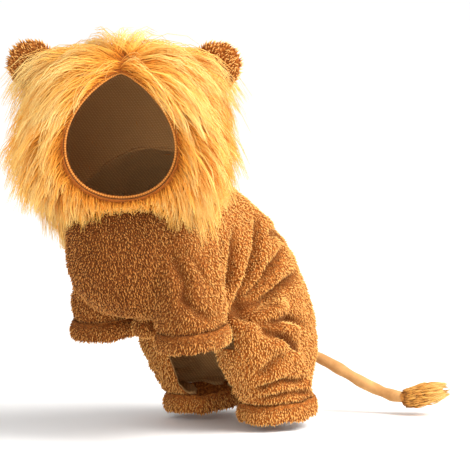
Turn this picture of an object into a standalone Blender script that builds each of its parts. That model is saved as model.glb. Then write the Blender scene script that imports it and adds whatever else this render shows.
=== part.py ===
"""A lion costume for a small dog, modelled as it stands on a dog that sits and looks to its left.

Metres, +Z up. The wearer's chest faces -Y. The origin is the point where the back panel lies
on the withers. Sizes below are millimetres, and tables hold shares of the sizes that they name.
The tables count from the floor under the front legs, and the root empty moves them to the origin.
"""

import math

import bmesh
import bpy
import numpy as np
from mathutils import Matrix, Vector
from mathutils.bvhtree import BVHTree

MM = 0.001

# Cloth and seams
CLOTH = 3.0            # plush with its pile pressed
SEAM = 0.3             # room between two sewn pieces

# Body: a sleeve from the neck over the back to the seat, open under the belly
BODY_LONG = 302.0      # chest to rump, along the floor
BODY_TALL = 300.0      # neck above the floor
BODY_WIDE = 126.0
BODY_SQUARE = 2.35     # power of the sections' superellipse
BODY_AROUND = 24
BODY_RINGS = 22
BODY_TABLE = (
    # front_y  front_z  back_y  back_z  half_wide
    (-0.260, 0.880, 0.048, 0.987, 0.373),
    (-0.297, 0.793, 0.199, 0.903, 0.430),
    (-0.321, 0.687, 0.334, 0.820, 0.476),
    (-0.307, 0.567, 0.455, 0.727, 0.500),
    (-0.231, 0.453, 0.580, 0.627, 0.500),
    (-0.073, 0.407, 0.655, 0.500, 0.484),
    (0.119, 0.420, 0.700, 0.360, 0.476),
    (0.228, 0.307, 0.711, 0.220, 0.476),
    (0.281, 0.153, 0.676, 0.067, 0.450),
)
WITHERS = BODY_TABLE[2]    # the row whose back point carries the costume
RUMP = BODY_TABLE[7]       # the row whose back point carries the tail

# Folds that fan out over the flanks behind the front sleeves, and fade at the spine and the belly
FOLD_DEEP = 7.0
FOLD_TABLE = (
    # row_of_body_table  half_rows  depth
    (2.29, 0.22, 0.45),
    (3.05, 0.22, 0.80),
    (3.81, 0.22, 1.00),
    (4.57, 0.22, 0.90),
    (5.33, 0.22, 0.75),
    (6.48, 0.25, 0.40),
)

# Opening under the belly, from behind the front legs to the seat
BELLY_WIDE = 76.0
BELLY_LONG = 176.0
BELLY_TABLE = ((0.076, 0.380), (0.569, 0.050))   # (y, z) of its front and back ends
BELLY_IN = 45.0        # how far the cut reaches into the body

# Front sleeves and hind legs, open tubes sewn into the body
SLEEVE_WIDE = 68.0
SLEEVE_TABLE = (
    # side_x  y  z  half_across  half_along  tilt
    (0.254, 0.010, 0.790, 0.300, 0.500, 0.00),
    (0.330, 0.010, 0.710, 0.400, 0.600, 0.00),
    (0.386, 0.008, 0.617, 0.455, 0.625, 0.00),
    (0.436, 0.007, 0.500, 0.485, 0.610, 0.06),
    (0.476, 0.010, 0.380, 0.480, 0.540, 0.14),
)
LEG_WIDE = 76.0
LEG_TABLE = (
    (0.246, 0.322, 0.487, 0.270, 0.450, 0.00),
    (0.365, 0.316, 0.400, 0.455, 0.575, 0.00),
    (0.413, 0.322, 0.310, 0.500, 0.610, 0.00),
    (0.421, 0.358, 0.217, 0.513, 0.610, 0.00),
    (0.413, 0.392, 0.155, 0.480, 0.585, 0.04),
    (0.413, 0.412, 0.125, 0.500, 0.600, 0.06),
    (0.413, 0.434, 0.093, 0.447, 0.540, 0.08),
)
TUBE_SQUARE = 2.2      # power of the sleeves' and legs' superellipse
TUBE_AROUND = 18
TUBE_RINGS = 7
CROTCH_TABLE = ((0.180, 0.395), (0.620, 0.215))  # (y, z) of the line that the thighs part below

# Turned cuffs, one round the end of each sleeve and leg
CUFF_TALL = 17.0
CUFF_THICK = 7.0
CUFF_AROUND = 18

# Hood, turned to the wearer's left
HOOD_WIDE, HOOD_DEEP, HOOD_TALL = 160.0, 160.0, 148.0
HOOD_SQUARE = 2.5
HOOD_PLACE = (0.090, -0.145, 1.047)
HEAD_TURN = 42.0
HOOD_AROUND, HOOD_RINGS = 20, 11

# Face opening, a drop with its tip up, and the binding round its edge
FACE_WIDE, FACE_TALL = 113.0, 127.0
FACE_PEAK = 0.4        # power that draws the drop's tip up: 0 is an oval
FACE_POINTS = 26
BINDING_THICK = 4.4

# Ears
EAR_WIDE, EAR_TALL, EAR_THICK = 52.0, 58.0, 13.0
EAR_CUP = 5.0
EAR_SIDE, EAR_UP = 0.525, 0.375    # where an ear's middle is, in shares of the hood
EAR_LEAN = 46.0

# Mane: a backing over the hood, with locks fused to it
BACKING = 2.5
LOCK_LONG = 100.0
LOCK_WIDE, LOCK_THICK = 42.0, 18.0
LOCK_STEPS = 3
LOCK_TABLE = (
    # round  from_it_deg  spread_deg  count  length  lift
    ("face", 57.0, 164.0, 10, 0.60, 0.58),
    ("face", 86.0, 144.0, 12, 0.80, 0.48),
    ("face", 116.0, 34.0, 2, 0.75, 0.22),
    ("crown", 58.0, 60.0, 4, 0.95, 0.20),
    ("crown", 82.0, 84.0, 8, 1.00, 0.22),
)
LOCK_FALL = 1.0

# Tail
TAIL_LONG = 134.0
TAIL_THICK = 13.0
TAIL_TABLE = (
    # side  back  up
    (0.00, -0.18, 0.02),
    (0.00, 0.00, -0.02),
    (0.08, 0.12, -0.08),
    (0.22, 0.24, -0.18),
    (0.38, 0.36, -0.29),
    (0.53, 0.45, -0.355),
    (0.66, 0.52, -0.37),
)
TAIL_POINTS = 15
TUFT_LONG, TUFT_WIDE, TUFT_THICK = 40.0, 25.0, 17.0
TUFT_LAP = 7.0         # how far the tuft is drawn over the tail
TUFT_LOCKS = 6
TUFT_RISE = 0.32


def smooth_rows(rows, count):
    """count rows, evenly spaced by row number, on a smooth curve through the given rows."""
    rows = np.asarray(rows, float)
    ends = np.vstack([2 * rows[0] - rows[1], rows, 2 * rows[-1] - rows[-2]])
    found = []
    for place in np.linspace(0, len(rows) - 1, count):
        i = min(int(place), len(rows) - 2)
        t = place - i
        a, b, c, d = ends[i : i + 4]
        curve = 2 * b + (c - a) * t + (2 * a - 5 * b + 4 * c - d) * t**2 + (3 * b - a - 3 * c + d) * t**3
        found.append(curve / 2)
    return np.array(found)


def body_point(y_share, z_share, x_share=0.0):
    return np.array([x_share * BODY_WIDE, y_share * BODY_LONG, z_share * BODY_TALL])


def body_sections(count):
    """(centres, half widths across, half depths along) of the body's sections."""
    rows = smooth_rows(BODY_TABLE, count)
    front = np.array([body_point(r[0], r[1]) for r in rows])
    back = np.array([body_point(r[2], r[3]) for r in rows])
    across = np.zeros((count, 3))
    across[:, 0] = rows[:, 4] * BODY_WIDE
    return (front + back) / 2, across, (back - front) / 2


def limb_sections(table, wide, side, count):
    """The sections of a sleeve or leg on the side +1 or -1."""
    rows = smooth_rows(table, count)
    centres = np.array([body_point(r[1], r[2], side * r[0]) for r in rows])
    across = np.zeros((count, 3))
    across[:, 0] = rows[:, 3] * wide
    along = np.zeros((count, 3))
    along[:, 1] = rows[:, 4] * wide
    along[:, 2] = rows[:, 4] * wide * rows[:, 5]
    return centres, across, along


def section_grid(sections, around, square, offset=0.0, fold=None):
    """Points of a tube through the sections, its surface moved out by offset and in by the folds."""
    rows = np.linspace(0, len(BODY_TABLE) - 1, len(sections[0]))
    rings = []
    for row, centre, u, v in zip(rows, *sections):
        u_long, v_long = np.linalg.norm(u), np.linalg.norm(v)
        ring = []
        for k in range(around):
            turn = 2 * math.pi * k / around
            c, s = math.cos(turn), math.sin(turn)
            c = math.copysign(abs(c) ** (2 / square), c)
            s = math.copysign(abs(s) ** (2 / square), s)
            depth = fold(row, turn) if fold else 0.0
            ring.append(centre + c * u * (1 + (offset - depth) / u_long) + s * v * (1 + (offset - depth) / v_long))
        rings.append(ring)
    return np.array(rings)


def body_fold(row, turn):
    """How deep the folds press the body in, at a row of its table and a turn round it."""
    side = min(1.0, 1.5 * abs(math.cos(turn))) if math.sin(turn) > 0 else max(0.0, 1 + 1.6 * math.sin(turn))
    depth = sum(share * math.exp(-(((row - middle) / half) ** 2)) for middle, half, share in FOLD_TABLE)
    return FOLD_DEEP * depth * side


def collection(name, parent):
    made = bpy.data.collections.new(name)
    parent.children.link(made)
    return made


def clear_scene():
    for old in list(bpy.data.objects):
        bpy.data.objects.remove(old)


def put(mesh, name, where, root, cutter=False):
    """A new object for the mesh, under the root empty."""
    obj = bpy.data.objects.new(name, mesh)
    where.objects.link(obj)
    obj.parent = root
    if cutter:
        obj.hide_render = True
        obj.display_type = "WIRE"
    else:
        mesh.shade_smooth()
        mesh.set_sharp_from_angle(angle=math.radians(50))
    return obj


def grid_mesh(name, grid, ends="open"):
    """A mesh of quads on rings of points. ends is open, capped, or joined where the last ring meets the first."""
    made = bmesh.new()
    rings = [[made.verts.new(Vector(p) * MM) for p in ring] for ring in grid]
    pairs = list(zip(rings, rings[1:]))
    if ends == "joined":
        pairs.append((rings[-1], rings[0]))
    for low, high in pairs:
        for k in range(len(low)):
            after = (k + 1) % len(low)
            made.faces.new((low[k], low[after], high[after], high[k]))
    if ends == "capped":
        for ring in (rings[0], rings[-1]):
            middle = made.verts.new(sum((v.co for v in ring), Vector()) / len(ring))
            for k in range(len(ring)):
                made.faces.new((ring[k], ring[(k + 1) % len(ring)], middle))
    bmesh.ops.recalc_face_normals(made, faces=made.faces)
    if ends == "open":
        face_out(made, grid)
    mesh = bpy.data.meshes.new(name)
    made.to_mesh(mesh)
    made.free()
    return mesh


def face_out(made, grid):
    """Turns an open tube's faces away from its own middle line."""
    made.faces.ensure_lookup_table()
    around = len(grid[0])
    row = len(grid) // 2
    face = made.faces[row * around]
    middle = Vector(np.mean(grid[row], axis=0)) * MM
    if face.normal.dot(face.calc_center_median() - middle) < 0:
        bmesh.ops.reverse_faces(made, faces=made.faces)


def wall(obj):
    """Gives an open sheet the thickness of the cloth, inwards."""
    solid = obj.modifiers.new("cloth", "SOLIDIFY")
    solid.thickness = CLOTH * MM
    solid.offset = -1


def boolean(obj, other, operation="DIFFERENCE", solver="EXACT"):
    """Cuts or joins an object with another one, or with each object of a collection."""
    cut = obj.modifiers.new(f"{operation.lower()} {other.name}", "BOOLEAN")
    cut.operation = operation
    cut.solver = solver
    if isinstance(other, bpy.types.Collection):
        cut.operand_type = "COLLECTION"
        cut.collection = other
    else:
        cut.object = other


def evaluated_mesh(obj):
    """The object's mesh with its modifiers applied."""
    bpy.context.view_layer.update()
    graph = bpy.context.evaluated_depsgraph_get()
    return bpy.data.meshes.new_from_object(obj.evaluated_get(graph))


class Bench:
    """The collections and the root that every piece is made under."""

    def __init__(self, origin):
        scene = bpy.context.scene.collection
        self.parts = collection("lion_costume", scene)
        self.cutters = collection("cutters", scene)
        self.root = bpy.data.objects.new("costume_root", None)
        self.parts.objects.link(self.root)
        self.root.location = Vector(-origin) * MM

    def part(self, mesh, name):
        return put(mesh, name, self.parts, self.root)

    def cutter(self, mesh, name):
        return put(mesh, name, self.cutters, self.root, cutter=True)


def body_solid(bench, name, offset):
    grid = section_grid(body_sections(BODY_RINGS), BODY_AROUND, BODY_SQUARE, offset, body_fold)
    return bench.cutter(grid_mesh(name, grid, "capped"), name)


def limb_solid(bench, name, table, wide, side, offset):
    sections = limb_sections(table, wide, side, TUBE_RINGS)
    grid = section_grid(sections, TUBE_AROUND, TUBE_SQUARE, offset)
    return bench.cutter(grid_mesh(name, grid, "capped"), name)


def slanted_block(bench, name, line, above):
    """A block whose one face follows a line in the side view, lying above or below it."""
    low, high = (body_point(y, z) for y, z in line)
    run = high - low
    size = 4 * BODY_LONG
    made = bmesh.new()
    bmesh.ops.create_cube(made, size=size * MM)
    mesh = bpy.data.meshes.new(name)
    made.to_mesh(mesh)
    made.free()
    block = bench.cutter(mesh, name)
    slope = math.atan2(run[2], run[1])
    up = Vector((0.0, -math.sin(slope), math.cos(slope)))
    shift = size / 2 if above else -size / 2
    block.location = (Vector((low + high) / 2) + up * shift) * MM
    block.rotation_euler.x = slope
    return block


def belly_cutter(bench):
    """The oval column that opens the body from the belly to the seat."""
    front, back = (body_point(y, z) for y, z in BELLY_TABLE)
    slope = math.atan2(back[2] - front[2], back[1] - front[1])
    tall = BODY_LONG
    made = bmesh.new()
    bmesh.ops.create_cone(
        made, cap_ends=True, segments=28, radius1=0.5 * MM, radius2=0.5 * MM, depth=tall * MM
    )
    bmesh.ops.scale(made, vec=(BELLY_WIDE, BELLY_LONG, 1.0), verts=made.verts)
    mesh = bpy.data.meshes.new("belly_cut")
    made.to_mesh(mesh)
    made.free()
    cutter = bench.cutter(mesh, "belly_cut")
    inwards = Vector((0.0, -math.sin(slope), math.cos(slope)))
    middle = Vector((front + back) / 2) + inwards * (BELLY_IN - tall / 2)
    cutter.location = middle * MM
    cutter.rotation_euler.x = slope
    return cutter


def make_body(bench, cutters):
    grid = section_grid(body_sections(BODY_RINGS), BODY_AROUND, BODY_SQUARE, 0.0, body_fold)
    body = bench.part(grid_mesh("body", grid), "body")
    wall(body)
    for cutter in cutters:
        boolean(body, cutter, solver="MANIFOLD")
    return body


def limb_end(table, wide, side):
    """The last section of a sleeve or leg, and the way down out of it."""
    centre, across, along = (rows[-1] for rows in limb_sections(table, wide, side, TUBE_RINGS))
    down = np.cross(across, along) * side
    down = down / np.linalg.norm(down)
    return centre, across, along, down * (-1 if down[2] > 0 else 1)


def cuff_room(bench, name, table, wide, side):
    """The space that a cuff takes, which also trims the limb's end flat."""
    centre, across, along, down = limb_end(table, wide, side)
    rows = [(centre + down * far, across, along) for far in (-SEAM, 3 * CUFF_TALL)]
    sections = tuple(np.array(column) for column in zip(*rows))
    grid = section_grid(sections, TUBE_AROUND, TUBE_SQUARE, CUFF_THICK - CLOTH + SEAM)
    return bench.cutter(grid_mesh(name, grid, "capped"), name)


def make_limb(bench, name, table, wide, side, cutters):
    sections = limb_sections(table, wide, side, TUBE_RINGS)
    limb = bench.part(grid_mesh(name, section_grid(sections, TUBE_AROUND, TUBE_SQUARE)), name)
    wall(limb)
    for cutter in cutters:
        boolean(limb, cutter)
    return limb


def make_cuff(bench, name, table, wide, side):
    """A rounded band that goes on where the sleeve or leg ends."""
    centre, across, along, down = limb_end(table, wide, side)
    low, high = -CLOTH, CUFF_THICK - CLOTH
    corner = 0.32 * CUFF_THICK
    top, end = 0.0, CUFF_TALL
    profile = (
        (low, top), (high - corner, top), (high, top + corner),
        (high, end - corner), (high - corner, end), (low, end),
    )
    rings = []
    for k in range(CUFF_AROUND):
        turn = 2 * math.pi * k / CUFF_AROUND
        c = math.copysign(abs(math.cos(turn)) ** (2 / TUBE_SQUARE), math.cos(turn))
        s = math.copysign(abs(math.sin(turn)) ** (2 / TUBE_SQUARE), math.sin(turn))
        edge = c * across + s * along
        out = c * across / np.linalg.norm(across) + s * along / np.linalg.norm(along)
        rings.append([centre + edge + out * r + down * h for r, h in profile])
    return bench.part(grid_mesh(name, np.array(rings), "joined"), name)


def hood_frame():
    """Moves points from the hood's own frame, facing -Y round its middle, to the costume's."""
    middle = body_point(HOOD_PLACE[1], HOOD_PLACE[2], HOOD_PLACE[0])
    return Matrix.Translation(Vector(middle)) @ Matrix.Rotation(math.radians(HEAD_TURN), 4, "Z")


def hood_surface(direction, offset=0.0):
    """Where a direction from the hood's middle meets its surface, moved out by offset."""
    half = np.array([HOOD_WIDE, HOOD_DEEP, HOOD_TALL]) / 2 + offset
    share = np.abs(np.asarray(direction, float) / half) ** HOOD_SQUARE
    return np.asarray(direction, float) / share.sum() ** (1 / HOOD_SQUARE)


def hood_solid(bench, name, offset):
    """The hood's outer form as a solid ball with a square fullness."""
    made = bmesh.new()
    bmesh.ops.create_uvsphere(made, u_segments=HOOD_AROUND, v_segments=HOOD_RINGS, radius=1.0)
    place = hood_frame()
    for vert in made.verts:
        vert.co = (place @ Vector(hood_surface(vert.co, offset))) * MM
    mesh = bpy.data.meshes.new(name)
    made.to_mesh(mesh)
    made.free()
    return bench.cutter(mesh, name)


def face_outline(grow=0.0):
    """The face opening's drop in the hood's frame, as (x, z), moved out by grow."""
    turns = np.linspace(0, 2 * math.pi, FACE_POINTS, endpoint=False)
    fine = np.linspace(0, math.pi, 181)
    widest = np.max(np.sin(fine) * np.sin(fine / 2) ** FACE_PEAK)
    x = FACE_WIDE / 2 * np.sin(turns) * np.abs(np.sin(turns / 2)) ** FACE_PEAK / widest
    z = FACE_TALL / 2 * np.cos(turns)
    line = np.column_stack([x, z])
    ahead, behind = np.roll(line, -1, axis=0), np.roll(line, 1, axis=0)
    along = ahead - behind
    along[0] = (1.0, 0.0)
    out = np.column_stack([-along[:, 1], along[:, 0]])
    out = out / np.linalg.norm(out, axis=1)[:, None]
    return line + grow * out


def face_cutter(bench, name, grow):
    place = hood_frame()
    grid = []
    for depth in (0.1, 1.0):
        ring = [(x, -HOOD_DEEP * depth, z) for x, z in face_outline(grow)]
        grid.append([np.array(place @ Vector(p)) for p in ring])
    return bench.cutter(grid_mesh(name, np.array(grid), "capped"), name)


def make_hood(bench, outer, inner, cutters):
    hood = bench.part(outer.data.copy(), "hood")
    for cutter in (inner, *cutters):
        boolean(hood, cutter)
    return hood


def make_binding(bench):
    """A round edge that follows the face opening, just inside its cut."""
    place = hood_frame()
    radius = BINDING_THICK / 2
    line = []
    for x, z in face_outline(-(radius + SEAM)):
        half = np.array([HOOD_WIDE, HOOD_DEEP, HOOD_TALL]) / 2 - CLOTH / 2
        left = 1 - abs(x / half[0]) ** HOOD_SQUARE - abs(z / half[2]) ** HOOD_SQUARE
        line.append(np.array([x, -half[1] * left ** (1 / HOOD_SQUARE), z]))
    line = np.array(line)
    rings = []
    for k, point in enumerate(line):
        along = line[(k + 1) % len(line)] - line[k - 1]
        along = along / np.linalg.norm(along)
        side = np.cross(along, (0.0, 1.0, 0.0))
        side = side / np.linalg.norm(side)
        front = np.cross(side, along)
        ring = []
        for j in range(6):
            turn = math.pi * j / 3
            spot = point + radius * (math.cos(turn) * side + math.sin(turn) * front)
            ring.append(np.array(place @ Vector(spot)))
        rings.append(ring)
    return bench.part(grid_mesh("face_binding", np.array(rings), "joined"), "face_binding")


def ear_mesh(name, side, grow=0.0):
    """A padded round ear, cupped to the front, with its root inside the hood."""
    made = bmesh.new()
    bmesh.ops.create_uvsphere(made, u_segments=12, v_segments=8, radius=1.0)
    turn = Matrix.Rotation(side * math.radians(EAR_LEAN), 4, "Y")
    middle = Vector((side * (EAR_SIDE * HOOD_WIDE + 0.1 * EAR_TALL), 0.0, EAR_UP * HOOD_TALL + 0.1 * EAR_TALL))
    place = hood_frame()
    for vert in made.verts:
        x, y, z = vert.co
        round_off = math.hypot(x, z)
        dish = EAR_CUP * (1 - round_off**2)
        spot = Vector((
            x * (EAR_WIDE / 2 + grow),
            y * (EAR_THICK / 2 + grow) + dish,
            z * (EAR_TALL / 2 + grow),
        ))
        vert.co = (place @ (turn @ spot + middle)) * MM
    mesh = bpy.data.meshes.new(name)
    made.to_mesh(mesh)
    made.free()
    return mesh


def make_ear(bench, name, side, hood_grown):
    ear = bench.part(ear_mesh(name, side), name)
    boolean(ear, hood_grown)
    return ear


def guide_tree(mesh):
    """A search tree of a mesh's surface, in millimetres. The mesh is used up."""
    tree = BVHTree.FromPolygons([v.co / MM for v in mesh.vertices], [p.vertices[:] for p in mesh.polygons])
    bpy.data.meshes.remove(mesh)
    return tree


def clear_of(tree, point):
    """How far a point lies outside a closed surface, negative inside."""
    near, normal, _, _ = tree.find_nearest(point)
    return (point - near).dot(normal)


def lock_path(start, out, comb, length, lift, steps, keep_off):
    """A lock's middle line: it leaves the hood, bends over with its weight and lies on what is under it."""
    heading = (out * lift + comb * (1 - lift)).normalized()
    point = start.copy()
    line = [point.copy()]
    for step in range(1, steps + 1):
        heading = (heading + Vector((0, 0, -1)) * LOCK_FALL * step / steps).normalized()
        point = keep_off(point + heading * length / steps, step / steps)
        line.append(point.copy())
    return line


def lock_rings(line, out, wide, thick, tip=0.05):
    """Rings of four points round a lock's middle line, narrowing to a share of its width at the tip."""
    rings = []
    last = len(line) - 1
    for k, point in enumerate(line):
        along = (line[min(k + 1, last)] - line[max(k - 1, 0)]).normalized()
        side = along.cross(out).normalized()
        top = side.cross(along).normalized()
        share = k / last
        full = 1 - (1 - tip) * share**2
        w, t = full * wide / 2, full * thick / 2
        rings.append([point + side * w, point + top * t, point - side * w, point - top * t])
    return rings


def lock_way(pole, from_pole, roll):
    """The way to a lock's root from the hood's middle, and the way it is combed, in the hood's frame.

    Roll counts from the top round the face, and from the back of the head round the crown.
    """
    s, c = math.sin(from_pole), math.cos(from_pole)
    if pole == "face":
        return (Vector((s * math.sin(roll), -c, s * math.cos(roll))),
                Vector((c * math.sin(roll), s, c * math.cos(roll))))
    return (Vector((s * math.sin(roll), s * math.cos(roll), c)),
            Vector((c * math.sin(roll), c * math.cos(roll), -s)))


def mane_locks(bench):
    """A collection of closed locks over the hood's outside."""
    locks = collection("locks", bench.cutters)
    place = hood_frame()
    turn = place.to_3x3()
    body = grid_mesh("body_guide", section_grid(body_sections(BODY_RINGS), BODY_AROUND, BODY_SQUARE), "capped")
    meshes = [body]
    for side in (1, -1):
        sleeve = section_grid(limb_sections(SLEEVE_TABLE, SLEEVE_WIDE, side, TUBE_RINGS), TUBE_AROUND, TUBE_SQUARE)
        meshes += [ear_mesh("ear_guide", side), grid_mesh("sleeve_guide", sleeve, "capped")]
    guides = [guide_tree(mesh) for mesh in meshes]

    def keep_off(point, share):
        rest = LOCK_THICK / 2 * (1 - share) + 1.0
        for tree in guides:
            near, normal, _, far = tree.find_nearest(point)
            if (point - near).dot(normal) < rest and far < LOCK_LONG / 2:
                point = near + normal * rest
        local = place.inverted() @ point
        skin = Vector(hood_surface(local, rest + BACKING))
        if local.length < skin.length:
            point = place @ skin
        return point

    ear = Vector((EAR_SIDE * HOOD_WIDE, 0.0, EAR_UP * HOOD_TALL))
    for pole, from_pole, spread, count, length, lift in LOCK_TABLE:
        for k in range(count):
            roll = math.radians(spread * (2 * k / (count - 1) - 1))
            way, away = lock_way(pole, math.radians(from_pole), roll)
            beside_ear = min(way.angle(ear), way.angle(Vector((-ear.x, ear.y, ear.z)))) < math.radians(22)
            if beside_ear:
                continue
            start = place @ Vector(hood_surface(way, BACKING / 2))
            if min(clear_of(tree, start) for tree in guides) < LOCK_THICK / 2:
                continue
            out, comb = turn @ way, turn @ away
            short = 1 - 0.30 * abs(roll) / math.pi
            line = lock_path(start, out, comb, LOCK_LONG * length * short, lift, LOCK_STEPS, keep_off)
            rings = lock_rings(line, out, LOCK_WIDE, LOCK_THICK)
            mesh = grid_mesh("lock", np.array([[tuple(p) for p in ring] for ring in rings]), "capped")
            put(mesh, f"lock_{pole}_{from_pole:.0f}_{k}", locks, bench.root, cutter=True)
    return locks


def make_mane(bench, backing, locks, cutters):
    mane = bench.part(backing.data.copy(), "mane")
    boolean(mane, locks, "UNION", "MANIFOLD")
    for cutter in cutters:
        boolean(mane, cutter, solver="MANIFOLD")
    return mane


def tail_line():
    """The tail's middle line, from inside the rump to the tuft."""
    start = body_point(RUMP[2], RUMP[3])
    return smooth_rows([start + TAIL_LONG * np.array(r) for r in TAIL_TABLE], TAIL_POINTS)


def tail_tube(bench, name, grow=0.0, cutter=False):
    """The tail as a curve with a round bevel, made a closed mesh."""
    curve = bpy.data.curves.new(name, "CURVE")
    curve.dimensions = "3D"
    curve.bevel_depth = (TAIL_THICK / 2 + grow) * MM
    curve.bevel_resolution = 2
    curve.use_fill_caps = True
    points = tail_line()
    spline = curve.splines.new("POLY")
    spline.points.add(len(points) - 1)
    for spot, point in zip(spline.points, points):
        spot.co = (*(point * MM), 1.0)
    guide = bpy.data.objects.new(name + "_guide", curve)
    bench.cutters.objects.link(guide)
    mesh = evaluated_mesh(guide)
    bpy.data.objects.remove(guide)
    made = bmesh.new()
    made.from_mesh(mesh)
    bmesh.ops.remove_doubles(made, verts=made.verts, dist=0.00001)
    bmesh.ops.recalc_face_normals(made, faces=made.faces)
    made.to_mesh(mesh)
    made.free()
    return bench.cutter(mesh, name) if cutter else bench.part(mesh, name)


def make_tail(bench, body_grown):
    tail = tail_tube(bench, "tail")
    boolean(tail, body_grown)
    return tail


def make_tuft(bench, tail_grown):
    """A plush brush drawn over the tail's end, fused from a head and a fan of locks."""
    line = tail_line()
    end = Vector(line[-1])
    along = Vector(line[-1] - line[-3]).normalized()
    along = (along + Vector((0, 0, TUFT_RISE))).normalized()
    side = along.cross(Vector((0, 0, 1))).normalized()
    top = side.cross(along).normalized()
    head_table = (
        # along  wide  thick
        (-TUFT_LAP, 0.66, 0.94),
        (0.0, 0.78, 1.05),
        (0.30 * TUFT_LONG, 0.95, 1.00),
        (0.62 * TUFT_LONG, 0.92, 0.80),
        (0.80 * TUFT_LONG, 0.80, 0.55),
    )
    rings = []
    for far, wide, thick in head_table:
        middle = end + along * far
        ring = []
        for k in range(12):
            turn = math.pi * k / 6
            spot = middle + side * math.cos(turn) * wide * TUFT_WIDE / 2
            ring.append(tuple(spot + top * math.sin(turn) * thick * TUFT_THICK / 2))
        rings.append(ring)
    tuft = bench.part(grid_mesh("tail_tuft", np.array(rings), "capped"), "tail_tuft")
    strips = collection("strips", bench.cutters)
    for k in range(TUFT_LOCKS):
        turn = 2 * math.pi * k / TUFT_LOCKS
        spread = side * math.cos(turn) * TUFT_WIDE + top * math.sin(turn) * TUFT_THICK
        start = end + along * 0.35 * TUFT_LONG + spread * 0.30
        middle = end + along * 0.75 * TUFT_LONG + spread * 0.40
        tip = end + along * TUFT_LONG * (1.0 + 0.04 * (k % 3)) + spread * 0.36
        out = spread.normalized()
        piece_rings = lock_rings([start, middle, tip], out, 0.50 * TUFT_WIDE, 0.34 * TUFT_THICK, 0.55)
        mesh = grid_mesh("strip", np.array([[tuple(p) for p in r] for r in piece_rings]), "capped")
        put(mesh, f"strip_{k}", strips, bench.root, cutter=True)
    boolean(tuft, strips, "UNION", "MANIFOLD")
    boolean(tuft, tail_grown, solver="MANIFOLD")
    return tuft


def material(name, colour, roughness):
    made = bpy.data.materials.new(name)
    made.use_nodes = True
    shader = made.node_tree.nodes["Principled BSDF"]
    shader.inputs["Base Color"].default_value = (*colour, 1.0)
    shader.inputs["Roughness"].default_value = roughness
    shader.inputs["Metallic"].default_value = 0.0
    return made


def finish(materials, bench):
    """Gives each part the material whose list names it."""
    for (name, colour, roughness), parts in materials.items():
        made = material(name, colour, roughness)
        for obj in bench.parts.objects:
            if obj.name in parts:
                obj.data.materials.clear()
                obj.data.materials.append(made)


def main():
    clear_scene()
    bench = Bench(body_point(WITHERS[2], WITHERS[3]) - np.array([0.0, 0.0, CLOTH]))

    body_inner = body_solid(bench, "body_inner", -CLOTH)
    body_grown = body_solid(bench, "body_grown", 2 * SEAM)
    hood_outer = hood_solid(bench, "hood_outer", 0.0)
    hood_inner = hood_solid(bench, "hood_inner", -CLOTH)
    hood_grown = hood_solid(bench, "hood_grown", SEAM)
    backing = hood_solid(bench, "mane_backing", SEAM + BACKING)
    face_cut = face_cutter(bench, "face_cut", 0.0)
    fur_cut = face_cutter(bench, "fur_cut", 2.0)

    thigh_room = body_solid(bench, "thigh_room", -CLOTH)
    boolean(thigh_room, slanted_block(bench, "under_crotch", CROTCH_TABLE, above=False))

    holes = [hood_inner, belly_cutter(bench)]
    limb_holes = {}
    for name, side in (("left", 1), ("right", -1)):
        for kind, table, wide, inside in (
            ("sleeve", SLEEVE_TABLE, SLEEVE_WIDE, body_inner),
            ("leg", LEG_TABLE, LEG_WIDE, thigh_room),
        ):
            room = cuff_room(bench, f"{kind}_cuff_room_{name}", table, wide, side)
            hole = limb_solid(bench, f"{kind}_hole_{name}", table, wide, side, 1.5 * SEAM)
            limb_holes[kind, name] = hole
            holes += [hole, room]
            make_limb(bench, f"{kind}_{name}", table, wide, side, [inside, room])
            make_cuff(bench, f"{kind}_cuff_{name}", table, wide, side)
    make_body(bench, holes)

    make_hood(bench, hood_outer, hood_inner, [face_cut, body_grown])
    make_binding(bench)
    ear_rooms = []
    for name, side in (("left", 1), ("right", -1)):
        make_ear(bench, f"ear_{name}", side, hood_grown)
        ear_rooms.append(bench.cutter(ear_mesh(f"ear_room_{name}", side, SEAM), f"ear_room_{name}"))
    sleeve_holes = [limb_holes["sleeve", name] for name in ("left", "right")]
    make_mane(bench, backing, mane_locks(bench), [hood_grown, fur_cut, body_grown, *ear_rooms, *sleeve_holes])

    make_tail(bench, body_grown)
    tail_grown = tail_tube(bench, "tail_room", SEAM, cutter=True)
    make_tuft(bench, tail_grown)

    plush = ("body", "hood", "sleeve_left", "sleeve_right", "leg_left", "leg_right", "ear_left", "ear_right")
    cuffs = ("sleeve_cuff_left", "sleeve_cuff_right", "leg_cuff_left", "leg_cuff_right")
    finish({
        ("plush", (0.46, 0.20, 0.055), 0.95): plush + cuffs,
        ("binding", (0.60, 0.30, 0.09), 0.90): ("face_binding",),
        ("mane_fur", (0.78, 0.40, 0.10), 0.75): ("mane",),
        ("tail_suede", (0.60, 0.36, 0.15), 0.85): ("tail",),
        ("tuft_fur", (0.68, 0.36, 0.10), 0.90): ("tail_tuft",),
    }, bench)


main()
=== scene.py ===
# %% [markdown]
# # A lion dog costume
#
# The costume is a plush suit with two front sleeves and two hind legs, a hood with a long mane
# and two round ears, and a stuffed tail that ends in a tuft. This lesson dresses its plain
# solid model: cloth first, then the pile on the cloth, then the long hair.
#
# The solid model comes in as a fixed frame. Every piece made here lies where its solid lies.

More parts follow.
